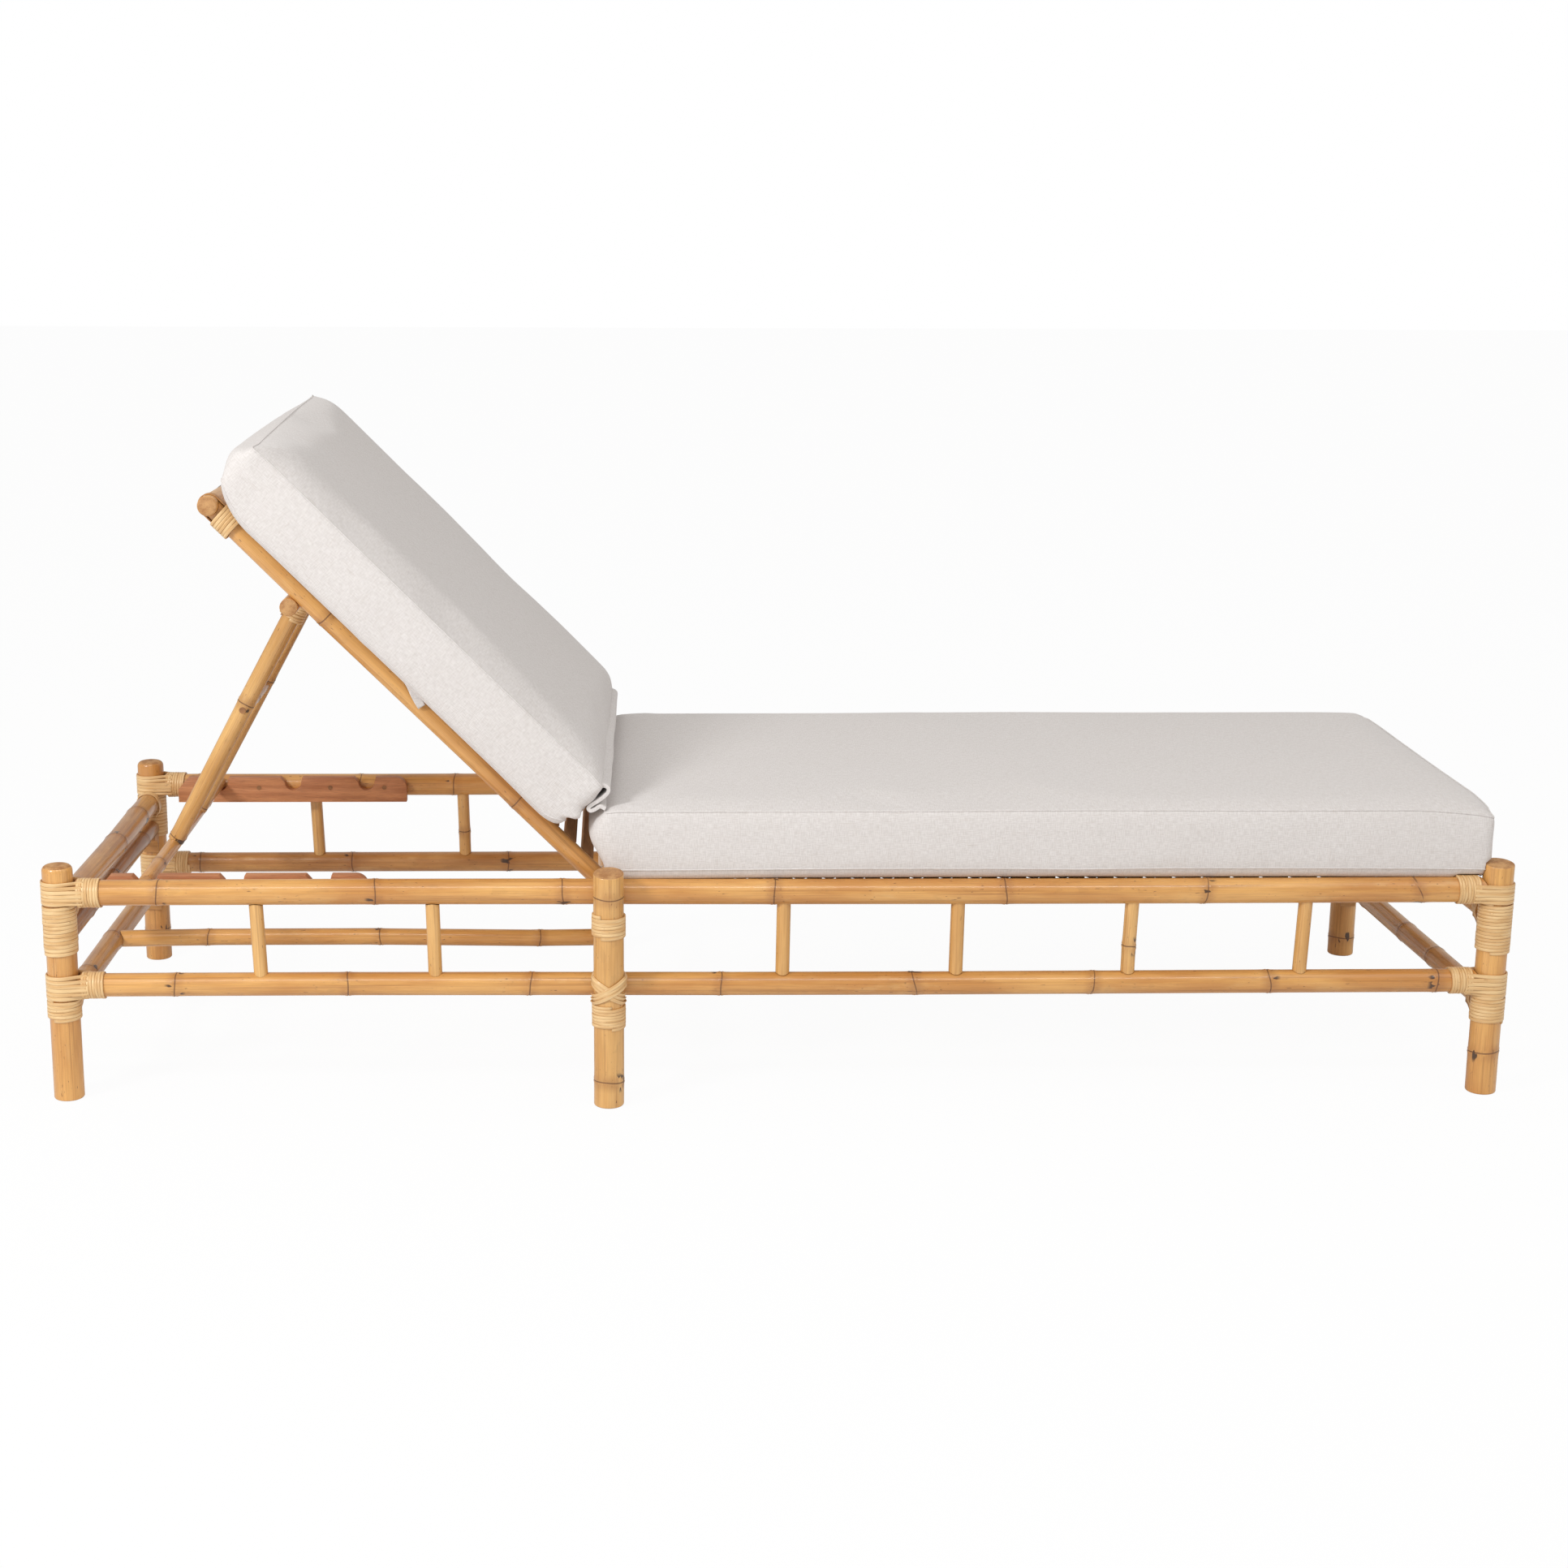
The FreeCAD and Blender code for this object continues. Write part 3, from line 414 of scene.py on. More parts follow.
def centre_line(node, space=Matrix.Identity(4)):
    """A straight pole's two ends and its radius, from its CAD node."""
    low, high = inner_box(node, space)
    size = high - low
    way = max(range(3), key=lambda i: size[i])
    start = (low + high) / 2
    end = start.copy()
    start[way] = low[way]
    end[way] = high[way]
    radius = min(size[(way + 1) % 3], size[(way + 2) % 3]) / 2
    return space @ start, space @ end, radius


HINGE = Vector(frame["joints"][0]["pos_m"])
PIVOT = Vector(frame["joints"][1]["pos_m"])
FOOT_BAR = (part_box("prop_foot_bar")[0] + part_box("prop_foot_bar")[1]) / 2
TO_BACK = Matrix.Translation(HINGE) @ Matrix.Rotation(math.radians(45), 4, "Y")
TO_PROP = along(PIVOT, FOOT_BAR)
PROP_LENGTH = (FOOT_BAR - PIVOT).length


# Bamboo poles

POLE_SIDES = 40
# Distance along the pole from a node's line, and the pole's swelling there, in millimetres
NODE_PROFILE = ((-15.0, 0.0), (-5.0, 0.15), (-1.7, 0.8), (0.0, 0.2), (1.7, 0.65), (5.0, 0.05), (15.0, -0.10))
RING_WIDTH = 1.7 * MM
RING_HALO = 18.0 * MM
RING_REACH = 25.0 * MM
EDGE = 0.8 * MM
STATION_GAP = 0.5 * MM
NODE_WAVE = 0.5 * MM
CUTTER_LENGTH = 0.12
SAWN_FROM = math.cos(math.radians(48))


def pole_stations(length, radius, end_radius, rings, rounded_start, rounded):
    """Heights and radii of the loops that a pole is drawn up through."""
    def girth(z):
        return radius + (end_radius - radius) * z / length

    def dome(size):
        steps = 6 if size > 2 * MM else 2
        turns = [math.radians(82 * step / steps) for step in range(steps, -1, -1)]
        return [(size * (1 - math.sin(turn)), size * (1 - math.cos(turn))) for turn in turns]

    loops = [(z, girth(0) - inset) for z, inset in dome(rounded_start)]
    for ring in rings:
        for offset, swell in NODE_PROFILE:
            z = ring + offset * MM
            if loops[-1][0] + STATION_GAP < z < length - rounded - STATION_GAP:
                loops.append((z, girth(z) + swell * MM))
    loops += [(length - z, girth(length) - inset) for z, inset in reversed(dome(rounded))]
    return loops


def ring_share(z, rings):
    """1 on a node's dark line, falling to 0 a thumb's width away."""
    nearest = min((abs(z - ring) for ring in rings), default=1.0)
    if nearest < RING_WIDTH:
        return 1.0 - 0.5 * nearest / RING_WIDTH
    return max(0.0, 0.5 * (1.0 - (nearest - RING_WIDTH) / (RING_HALO - RING_WIDTH)))


def slope(spot, rings, leans):
    """How far up a point of a pole is carried by the slant and wave of the nodes near it."""
    rise = 0.0
    angle = math.atan2(spot.y, spot.x)
    for ring, (lean, turn) in zip(rings, leans):
        share = max(0.0, 1.0 - abs(spot.z - ring) / RING_REACH)
        rise += share * (lean * math.cos(angle - turn) + NODE_WAVE * math.sin(3 * angle + turn * 5))
    return rise


def hollowed(piece, hollows):
    """Cut round hollows into a pole where it fits over other poles; each is a point, a way and a radius."""
    for point, way, radius in hollows:
        bpy.ops.object.select_all(action="DESELECT")
        bpy.ops.mesh.primitive_cylinder_add(vertices=64, radius=radius, depth=CUTTER_LENGTH)
        cutter = settled(bpy.context.object, along(point, point + way))
        finished(piece, "BOOLEAN", operation="DIFFERENCE", solver="EXACT", object=cutter)
        bpy.data.objects.remove(cutter)


def bamboo(name, body, start, end, radius, rings=(), end_radius=None, rounded=EDGE, rounded_start=EDGE,
           slant=0.0, hollows=(), finish=BAMBOO, nodes=None, waver=0.6, leans=None):
    """A bamboo pole drawn up loop by loop, swollen at its nodes, coped, and coloured along its grain."""
    end_radius = end_radius or radius
    length = (end - start).length
    chance = random.Random(name)
    rings = sorted(ring * MM for ring in rings)
    ways = [(chance.uniform(0.6, 2.2) * MM, chance.uniform(0, 2 * math.pi)) for _ in rings]
    if leans:
        ways = [(lean * MM, math.radians(turn)) for lean, turn in leans]
    loops = pole_stations(length, radius, end_radius, rings, rounded_start, rounded)
    bpy.ops.object.select_all(action="DESELECT")
    bpy.ops.mesh.primitive_circle_add(vertices=POLE_SIDES, radius=loops[0][1], fill_type="NGON")
    piece = bpy.context.object
    edit(piece, "SELECT")
    bpy.ops.transform.translate(value=(0, 0, loops[0][0]))
    for (z, r), (next_z, next_r) in zip(loops, loops[1:]):
        draw_out(next_z - z)
        bpy.ops.transform.resize(value=(next_r / r, next_r / r, 1), center_override=(0, 0, next_z))
    close_outwards()
    sways = [Vector((chance.uniform(-1, 1), chance.uniform(-1, 1), 0)) * waver * MM for _ in range(3)]

    def sway(z):
        share = z / length
        return sum((sways[i] * math.sin((i + 1) * math.pi * share) for i in range(3)), Vector((0, 0, 0)))

    for vertex in piece.data.vertices:
        rise = slope(vertex.co, rings, ways)
        if slant and vertex.co.z > 0.9 * length:
            share = min(1.0, (vertex.co.z / length - 0.9) / 0.09)
            rise += (vertex.co.y * slant - radius * abs(slant)) * share
        vertex.co += sway(vertex.co.z) + Vector((0, 0, rise))
    matrix = along(start, end)
    settled(piece, matrix)
    hollowed(piece, hollows)
    inverse = matrix.inverted()
    seed = chance.uniform(0, 3)
    grains = []
    shares = []
    for vertex in piece.data.vertices:
        spot = inverse @ vertex.co
        spot -= sway(spot.z)
        grains.append((spot.x + seed, spot.y, spot.z + seed * 3))
        shares.append(ring_share(spot.z - slope(spot, rings, ways), rings))
    mark(piece, grains, "ring", shares)
    dressed(piece, name + "_bamboo", body, (finish, SAWN), nodes or [name])
    way = (end - start).normalized()
    for face in piece.data.polygons:
        face.material_index = 1 if abs(face.normal.dot(way)) > SAWN_FROM else 0
    smoothed(piece)


# Sizes read from the frame, and where the nodes of each pole are: in millimetres from the lounger's middle,
# or up a leg from its foot

LEG_RADIUS = centre_line("leg_head_right")[2]
FIT = 0.2 * MM
WRAP_OUTER = 3.45 * MM
WRAPPED = LEG_RADIUS + WRAP_OUTER + FIT
MIDDLE_X = centre_line("leg_middle_right")[0].x
HEAD_X = centre_line("leg_head_right")[0].x
FOOT_X = centre_line("leg_foot_right")[0].x
SIDE_Y = centre_line("leg_head_left")[0].y
MIDDLE_Y = centre_line("leg_middle_left")[0].y
TOP_RAIL = centre_line("top_rail_left")
LOWER_RAIL = centre_line("lower_rail_left")

LEG_RINGS = {
    "leg_head_right": (262,),
    "leg_head_left": (50,),
    "leg_middle_right": (36, 295),
    "leg_middle_left": (60,),
    "leg_foot_right": (60,),
    "leg_foot_left": (30,),
}
RAIL_RINGS = {
    "top_rail_right": (-843, -551, -297, -12, 302, 575, 867),
    "top_rail_left": (-898, -640, -487, -180, 120, 410, 700),
    "lower_rail_right": (-824, -591, -343, -83, 181, 426, 670, 901),
    "lower_rail_left": (-901, -655, -402, -130, 150, 430, 700),
    "centre_stretcher": (-837, -580, -341),
}
RAIL_LEANS = {
    "top_rail_right": ((1.5, 60), (1.0, 200), (2.0, 300), (1.2, 90), (1.6, 250), (3.0, 110), (9.0, 270)),
    "lower_rail_right": ((1.2, 60), (1.0, 200), (2.5, 100), (1.2, 90), (4.0, 250), (3.0, 110), (2.0, 270),
                         (1.5, 80)),
}
CROSS_RINGS = {
    "head_top_cross_pole": (-216, 39, 205),
    "head_second_cross_pole": (-170, -1, 227),
    "head_lower_cross_pole": (-181, -11, 190),
    "middle_top_cross_pole": (-120, 140),
    "middle_lower_cross_pole": (-150, 90),
    "foot_top_cross_pole": (-90, 170),
    "foot_lower_cross_pole": (-115, 11, 200),
}
BALUSTER_PITCH = 237.5 * MM
BALUSTER_RADIUS = 9.5 * MM
BALUSTER_TILTS = {-2: 2.5, -1: 1.5, 1: -0.5, 2: -0.5, 3: -1.5, 4: -2.0}
LEG_TOP_SLANT = {"head": 0.0, "middle": 0.16, "foot": 0.12}
PIN_HOLE_RADIUS = 5.06 * MM
PROP_END_GAP = 6 * MM
PROP_TOP_RADIUS = 13 * MM
PROP_FOOT_RADIUS = 11.5 * MM
PROP_SOCKET_RADIUS = 12.5 * MM
SPREADER_DROP = 198 * MM
PIVOT_FIT = 0.4 * MM


def make_legs():
    """Six legs: the head pair domed, the others sawn at a slant that falls outwards."""
    for end, slant in LEG_TOP_SLANT.items():
        for side, way in SIDES.items():
            name = "leg_%s_%s" % (end, side)
            start, top, radius = centre_line(name)
            rounded = (8.0 if end == "head" else 1.5) * MM
            finish = BAMBOO_PALE if end == "middle" else BAMBOO
            bamboo(name, "frame", start, top, radius, LEG_RINGS[name], rounded=rounded,
                   rounded_start=2.5 * MM, slant=slant * -way, finish=finish, waver=0.3)


def make_rails():
    """Side rails and the stretcher, each coped to what it meets."""
    for name, places in RAIL_RINGS.items():
        start, end, radius = centre_line(name)
        rings = [x - start.x / MM for x in places]
        if name == "centre_stretcher":
            cross = centre_line("head_lower_cross_pole")[2] + FIT
            hollows = [(Vector((x, 0, start.z)), ACROSS, cross) for x in (HEAD_X, MIDDLE_X)]
            waver = 2.0
        else:
            hollows = [(Vector((x, start.y, start.z)), UP, WRAPPED) for x in (HEAD_X, FOOT_X)]
            waver = 0.8
        finish = BAMBOO_MARKED if name == "lower_rail_left" else BAMBOO
        bamboo(name, "frame", start, end, radius, rings, hollows=hollows, finish=finish, waver=waver,
               leans=RAIL_LEANS.get(name))


def make_cross_poles():
    """Poles across the frame, coped to the wrapped legs."""
    for name, places in CROSS_RINGS.items():
        start, end, radius = centre_line(name)
        rings = [y - start.y / MM for y in places]
        leg = centre_line("leg_%s_left" % name.split("_")[0])[0]
        hollows = [(Vector((leg.x, way * leg.y, start.z)), UP, WRAPPED) for way in SIDES.values()]
        finish = BAMBOO_MARKED if name.startswith("head") else BAMBOO
        # The head's second cross pole takes the darker copy of the bamboo: painted shade
        if name == "head_second_cross_pole":
            finish = BAMBOO_SHADED_SCORCHED
        bamboo(name, "frame", start, end, radius, rings, hollows=hollows, finish=finish)


def make_balusters():
    """Short uprights between the side rails, a little out of true."""
    for side, way in SIDES.items():
        for step, tilt in BALUSTER_TILTS.items():
            x = MIDDLE_X + step * BALUSTER_PITCH
            start = Vector((x + tilt * MM, way * SIDE_Y, LOWER_RAIL[0].z))
            end = Vector((x - tilt * MM, way * SIDE_Y, TOP_RAIL[0].z))
            rails = (TOP_RAIL, LOWER_RAIL)
            hollows = [(Vector((x, way * SIDE_Y, rail[0].z)), ALONG, rail[2] + FIT) for rail in rails]
            rings = (52,) if (step + (way > 0)) % 3 == 0 else ()
            bamboo("baluster_%s_%d" % (side, step + 3), "frame", start, end, BALUSTER_RADIUS, rings,
                   hollows=hollows, nodes=["balusters_%s" % side], finish=BAMBOO_PALE)


def make_back_poles():
    """The back's two rails, its crossbar and the pole that the prop hangs from."""
    bar_start, bar_end, bar_radius = centre_line("head_crossbar", TO_BACK)
    bar = TO_BACK.inverted() @ bar_start
    for side in SIDES:
        name = "back_rail_%s" % side
        low, high = inner_box(name, TO_BACK)
        radius = (high.z - low.z) / 2
        y = (low.y + high.y) / 2
        start = TO_BACK @ Vector((radius, y, 0))
        end = TO_BACK @ Vector((bar.x, y, 0))
        hollows = [(end, ACROSS, bar_radius + FIT), (TO_BACK @ Vector((0, y, 0)), ACROSS, PIN_HOLE_RADIUS)]
        rings = (176, 533) if side == "right" else (90, 333, 600)
        bamboo(name, "back", start, end, radius, rings, rounded_start=radius * 0.95, hollows=hollows,
               waver=1.0)
    bamboo("head_crossbar", "back", bar_start, bar_end, bar_radius, (150, 420), rounded=3 * MM,
           rounded_start=3 * MM, waver=0.8)
    start, end, radius = centre_line("pivot_pole", TO_BACK)
    bamboo("pivot_pole", "back", start, end, radius, (120, 400), waver=0.4)


def make_prop_poles():
    """The prop's two poles, its spreader and the bar that lies in the racks."""
    top_radius = centre_line("pivot_pole", TO_BACK)[2] + PIVOT_FIT
    foot_radius = centre_line("prop_foot_bar")[2]
    spreader_hollows = []
    for side in SIDES:
        name = "prop_pole_%s" % side
        low, high = inner_box(name, TO_PROP)
        x = (low.x + high.x) / 2
        start = TO_PROP @ Vector((x, 0, PROP_END_GAP))
        end = TO_PROP @ Vector((x, 0, PROP_LENGTH - PROP_END_GAP))
        hollows = [
            (TO_PROP @ Vector((x, 0, 0)), ACROSS, top_radius),
            (TO_PROP @ Vector((x, 0, PROP_LENGTH)), ACROSS, foot_radius + FIT),
        ]
        bamboo(name, "prop", start, end, PROP_TOP_RADIUS, (182, 406), end_radius=PROP_FOOT_RADIUS,
               hollows=hollows, waver=0.8, finish=BAMBOO_PALE)
        socket = TO_PROP @ Vector((x, 0, SPREADER_DROP))
        spreader_hollows.append((socket, FOOT_BAR - PIVOT, PROP_SOCKET_RADIUS))
    start, end, radius = centre_line("prop_spreader", TO_PROP)
    bamboo("prop_spreader", "prop", start, end, radius, (100,), hollows=spreader_hollows, waver=0.3)
    start, end, radius = centre_line("prop_foot_bar")
    bamboo("prop_foot_bar", "prop", start, end, radius, (95, 260, 470), waver=0.1)


# Cane windings

CANE_THICK = 2.4 * MM
STRIP_THICK = 1.2 * MM
COIL_STEPS = 28
CANE_SIDES = 12
CANE_FLATNESS = 0.55


def flattened(piece, first, second, size_first, size_second):
    """Turn a round section of unit size into a strip's, with flat faces and rounded edges."""
    for vertex in piece.data.vertices:
        for axis, size in ((first, size_first), (second, size_second)):
            value = vertex.co[axis] * 2
            vertex.co[axis] = math.copysign(abs(value) ** CANE_FLATNESS, value) * size / 2


def cane_coil(matrix, core, length, loops, squeeze=1.0, seed=0):
    """A split cane wound round a core in even turns, a little uneven as by hand; drawn up the Z axis."""
    pitch = length / (loops + 1)
    middle = core + FIT + CANE_THICK / 2
    centre = (middle, 0, pitch / 2)
    bpy.ops.object.select_all(action="DESELECT")
    bpy.ops.mesh.primitive_circle_add(vertices=CANE_SIDES, radius=0.5, rotation=(math.pi / 2, 0, 0))
    piece = bpy.context.object
    bpy.ops.object.transform_apply(location=True, rotation=True, scale=True)
    flattened(piece, 0, 2, CANE_THICK, pitch)
    piece.data.transform(Matrix.Translation(centre))
    finished(piece, "SCREW", angle=2 * math.pi, screw_offset=pitch, iterations=loops, steps=COIL_STEPS,
             render_steps=COIL_STEPS, use_smooth_shade=True)
    edit(piece)
    bpy.ops.mesh.select_mode(type="EDGE")
    bpy.ops.mesh.select_non_manifold(extend=False)
    bpy.ops.mesh.fill_holes(sides=0)
    bpy.ops.mesh.select_mode(type="VERT")
    close_outwards()
    grains = []
    edges = []
    for vertex in piece.data.vertices:
        spot = vertex.co
        angle = math.atan2(spot.y, spot.x) / (2 * math.pi)
        turn = round((spot.z - pitch / 2) / pitch - angle) + angle
        across = spot.z - pitch / 2 - pitch * turn
        run = 2 * math.pi * middle * turn
        grains.append((run + seed, across, turn * 0.3 + seed))
        # The edge number is the mask of the cane finish's painted shade in the grooves between turns
        edges.append(abs(across) / (pitch * 0.5))
        wobble = noise.noise((run * 30 + seed, seed, 0.0))
        bulge = noise.noise((run * 22, seed + 7, 3.0))
        tuck = max(0.0, 0.25 - turn) + max(0.0, turn - loops + 0.25)
        reach = math.hypot(spot.x, spot.y)
        scale = (reach + bulge * 0.5 * MM - tuck * 4 * MM) / reach
        vertex.co = Vector((spot.x * scale, spot.y * scale * squeeze, spot.z + wobble * 0.6 * MM))
    mark(piece, grains, "edge", edges)
    return settled(piece, matrix)


def smooth_path(points, steps=6):
    """Points on a smooth line through the given ones."""
    path = []
    last = len(points) - 1
    for i in range(last):
        before = points[max(i - 1, 0)]
        a = points[i]
        b = points[i + 1]
        after = points[min(i + 2, last)]
        for step in range(steps):
            t = step / steps
            square = (2 * before - 5 * a + 4 * b - after) * t * t
            cube = (3 * a - before - 3 * b + after) * t ** 3
            path.append((2 * a + (b - before) * t + square + cube) * 0.5)
    path.append(points[last])
    return path


def run_length(path):
    """The length of a path, from point to point."""
    return sum((b - a).length for a, b in zip(path, path[1:]))


def ribbon(path, outs, width, thick, seed=0):
    """A flat strip: a section with rounded edges drawn out step by step, then laid along its path."""
    bpy.ops.object.select_all(action="DESELECT")
    bpy.ops.mesh.primitive_circle_add(vertices=CANE_SIDES, radius=0.5, fill_type="NGON")
    piece = bpy.context.object
    flattened(piece, 0, 1, 1, 1)
    edit(piece, "SELECT")
    for _ in range(len(path) - 1):
        draw_out(1)
    close_edit()
    grains = []
    edges = []
    runs = [0.0]
    for a, b in zip(path, path[1:]):
        runs.append(runs[-1] + (b - a).length)
    for vertex in piece.data.vertices:
        step = round(vertex.co.z)
        way = (path[min(step + 1, len(path) - 1)] - path[max(step - 1, 0)]).normalized()
        out = (outs[step] - way * outs[step].dot(way)).normalized()
        aside = way.cross(out)
        across = vertex.co.x * width
        depth = vertex.co.y * thick
        wobble = noise.noise((runs[step] * 30 + seed, seed, 1.0)) * 0.4 * MM
        grains.append((runs[step] + seed, across, seed))
        # The edge number is the mask of the cane finish's painted shade in the grooves between strips
        edges.append(abs(vertex.co.x) * 2)
        vertex.co = path[step] + aside * (across + wobble) + out * depth
    mark(piece, grains, "edge", edges)
    outwards(piece)
    piece.data.shade_smooth()
    return piece


def corner_band(leg, way_x, rail, low, high, count, seed):
    """Strips that pass round a corner leg, level with a rail, and run in under the rail's collar."""
    strips = []
    reach = LEG_RADIUS + FIT + STRIP_THICK
    pitch = (high - low) / count
    limit = rail[2] + 1.2 * MM
    for step in range(count):
        drop = low + pitch * (step + 0.5) - rail[0].z
        held = max(-limit * 0.9, min(limit * 0.9, drop))
        beside = max(3 * MM, math.sqrt(limit ** 2 - held ** 2))
        sides = []
        for side in (1, -1):
            sides.append([
                Vector((way_x * 36 * MM, side * beside, held)),
                Vector((way_x * 27 * MM, side * (beside + 1.2 * MM), held)),
                Vector((way_x * 15 * MM, side * (reach * 0.6 + beside * 0.4), (held + drop) / 2)),
            ])
            for turn in (-8, 18, 45, 70):
                angle = math.radians(turn)
                out = Vector((-way_x * math.sin(angle), side * math.cos(angle), 0)) * reach
                sides[-1].append(out + UP * drop)
        loop = sides[0] + [Vector((-way_x * reach, 0, drop))] + sides[1][::-1]
        centre = Vector((leg.x, leg.y, rail[0].z))
        path = smooth_path([centre + point for point in loop], steps=3)
        arms = [point - leg for point in path]
        outs = [Vector((min(0.0, arm.x * way_x) * way_x, arm.y, 0)) for arm in arms]
        strips.append(ribbon(path, outs, pitch * 1.02, STRIP_THICK * 2, seed + step))
    return strips


def stirrups(leg, pole, seed):
    """Strips that hang over a cross pole's end, and run down the leg's inner face on both sides of it."""
    start, _, radius = centre_line(pole)
    pieces = []
    for step in range(3):
        off = LEG_RADIUS + (5.5 + 5.0 * step) * MM
        foot = LEG_RADIUS + 3.6 * MM
        reach = radius + 1.0 * MM
        half = []
        for side in (-1, 1):
            half.append([
                Vector((side * reach * 0.5, foot, -reach - 5 * MM)),
                Vector((side * reach * 0.92, (foot + off) / 2, -reach * 0.62)),
                Vector((side * reach, off, 0)),
                Vector((side * reach * 0.72, off, reach * 0.72)),
            ])
        loop = half[0] + [Vector((0, off, reach))] + half[1][::-1]
        centre = Vector((leg.x, leg.y, start.z))
        path = smooth_path([centre + point for point in loop], steps=3)
        middle = centre + Vector((0, off, 0))
        outs = [Vector((point.x - middle.x, 0, point.z - middle.z)) for point in path]
        pieces.append(ribbon(path, outs, 5.2 * MM, STRIP_THICK * 1.4, seed + step))
    return pieces


def rail_lashing(leg):
    """Crossed strips that tie the lower rail to the middle leg."""
    pieces = []
    front = LEG_RADIUS + 1.6 * MM
    back = MIDDLE_Y - SIDE_Y
    rise = 13 * MM
    top = LOWER_RAIL[2] + 2.2 * MM
    for cross in (1, -1):
        for step in range(3):
            lift = (step - 1) * 5.2 * MM
            girth = front + (0.9 * MM if cross > 0 else 0)
            points = []
            for turn in (-90, -60, -30, 0, 30, 60, 90):
                angle = math.radians(turn)
                points.append(Vector((girth * math.sin(angle), -girth * math.cos(angle),
                                      cross * rise * math.sin(angle) + lift)))
            points += [
                Vector((front - 3 * MM, back * 0.5, cross * top + lift * 0.4)),
                Vector((12 * MM, back, cross * top)),
                Vector((6 * MM, back + 14 * MM, cross * 11 * MM)),
                Vector((0, back + top, 0)),
                Vector((-6 * MM, back + 14 * MM, -cross * 11 * MM)),
                Vector((-12 * MM, back, -cross * top)),
                Vector((3 * MM - front, back * 0.5, -cross * top + lift * 0.4)),
                points[0],
            ]
            centre = Vector((leg.x, leg.y, LOWER_RAIL[0].z + 4 * MM))
            path = smooth_path([centre + point for point in points], steps=3)
            middle = centre + Vector((0, back * 0.5, 0))
            outs = [point - middle for point in path]
            pieces.append(ribbon(path, outs, 5.4 * MM, 1.6 * MM, seed=step + cross * 5))
    return pieces


LEG_COILS = {
    "head": ((113, 146, 6), (205, 279, 13)),
    "foot": ((101, 143, 8), (202, 276, 15)),
    "middle": ((111, 146, 7), (238, 272, 6)),
}
CORNER_BANDS = {
    "head": (("lower", 144, 178, 6), ("top", 277, 309, 6)),
    "foot": (("lower", 141, 174, 6), ("top", 274, 301, 5)),
}
COLLAR_STARTS = {"head": -952.35, "foot": 918.35}
COLLAR_LENGTH = 34 * MM
STRAP_Y = 276 * MM
BACK_COLLAR_START = -717.5 * MM
BACK_COLLAR_CORE = 16.3 * MM
BACK_COLLAR_LENGTH = 33 * MM
TIE_START = 17 * MM
TIE_CORE = 15.9 * MM
TIE_LENGTH = 34 * MM


def caned(pieces, node, body):
    """Windings made one piece, which stands for their CAD node."""
    dressed(joined(pieces), node + "_cane", body, (CANE,), [node])


def make_wraps():
    """The windings on the legs and rail ends, made for one side of the frame and mirrored for the other."""
    rails = {"top": TOP_RAIL, "lower": LOWER_RAIL}
    for end, levels in LEG_COILS.items():
        leg = centre_line("leg_%s_right" % end)[0]
        pieces = []
        for low, high, loops in levels:
            turn = Matrix.Rotation(0.7 * loops, 4, "Z")
            base = Matrix.Translation((leg.x, leg.y, low * MM)) @ turn
            pieces.append(cane_coil(base, LEG_RADIUS, (high - low) * MM, loops, seed=loops))
        for level, low, high, count in CORNER_BANDS.get(end, ()):
            way_x = 1 if end == "head" else -1
            pieces += corner_band(leg, way_x, rails[level], low * MM, high * MM, count, low)
            pieces += stirrups(leg, "%s_%s_cross_pole" % (end, level), low)
        if end == "middle":
            pieces += rail_lashing(leg)
        whole = joined(pieces)
        twin = mirrored(whole)
        caned([whole], "leg_wraps_%s_right" % end, "frame")
        caned([twin], "leg_wraps_%s_left" % end, "frame")
    for end, x in COLLAR_STARTS.items():
        pieces = []
        for level, rail in rails.items():
            base = along(Vector((x * MM, -SIDE_Y, rail[0].z)), Vector((1, -SIDE_Y, rail[0].z)))
            pieces.append(cane_coil(base, rail[2], COLLAR_LENGTH, 8, seed=x + rail[2] * 100))
        whole = joined(pieces)
        caned([whole, mirrored(whole)], "rail_collars_%s" % end, "frame")


def make_bindings():
    """Collars on the back rails below the crossbar, and bindings at the top of the prop's poles."""
    collars = []
    ties = []
    for side, way in SIDES.items():
        y = way * STRAP_Y
        base = TO_BACK @ along(Vector((BACK_COLLAR_START, y, 0)), Vector((0, y, 0)))
        collars.append(cane_coil(base, BACK_COLLAR_CORE, BACK_COLLAR_LENGTH, 6, seed=way + 3))
        low, high = inner_box("prop_pole_%s" % side, TO_PROP)
        base = TO_PROP @ Matrix.Translation(((low.x + high.x) / 2, 0, TIE_START))
        ties.append(cane_coil(base, TIE_CORE, TIE_LENGTH, 7, seed=way + 9))
    caned(collars, "crossbar_collars", "back")
    caned(ties, "prop_bindings", "prop")


# Racks, ledges and slats


def planed(node, body, material, space, order, bevel):
    """A board from its CAD solid: merged, its flats made whole, its edges eased and its grain marked."""
    piece = frame["nodes"][node].copy()
    piece.data = frame["nodes"][node].data.copy()
    for key in list(piece.keys()):
        if key.startswith("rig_"):
            del piece[key]
    bpy.context.scene.collection.objects.link(piece)
    piece.parent = None
    piece.matrix_world = Matrix.Identity(4)
    edit(piece, "SELECT")
    bpy.ops.mesh.remove_doubles(threshold=0.02 * MM)
    bpy.ops.mesh.dissolve_limited(angle_limit=math.radians(1))
    close_edit()
    finished(piece, "BEVEL", width=bevel, segments=2, limit_method="ANGLE", angle_limit=math.radians(40))
    back = space.inverted()
    grains = []
    for vertex in piece.data.vertices:
        spot = back @ vertex.co
        grains.append([spot[i] for i in order])
    mark(piece, grains)
    dressed(piece, node + "_planed", body, (material,), [node])
    smoothed(piece, 35)


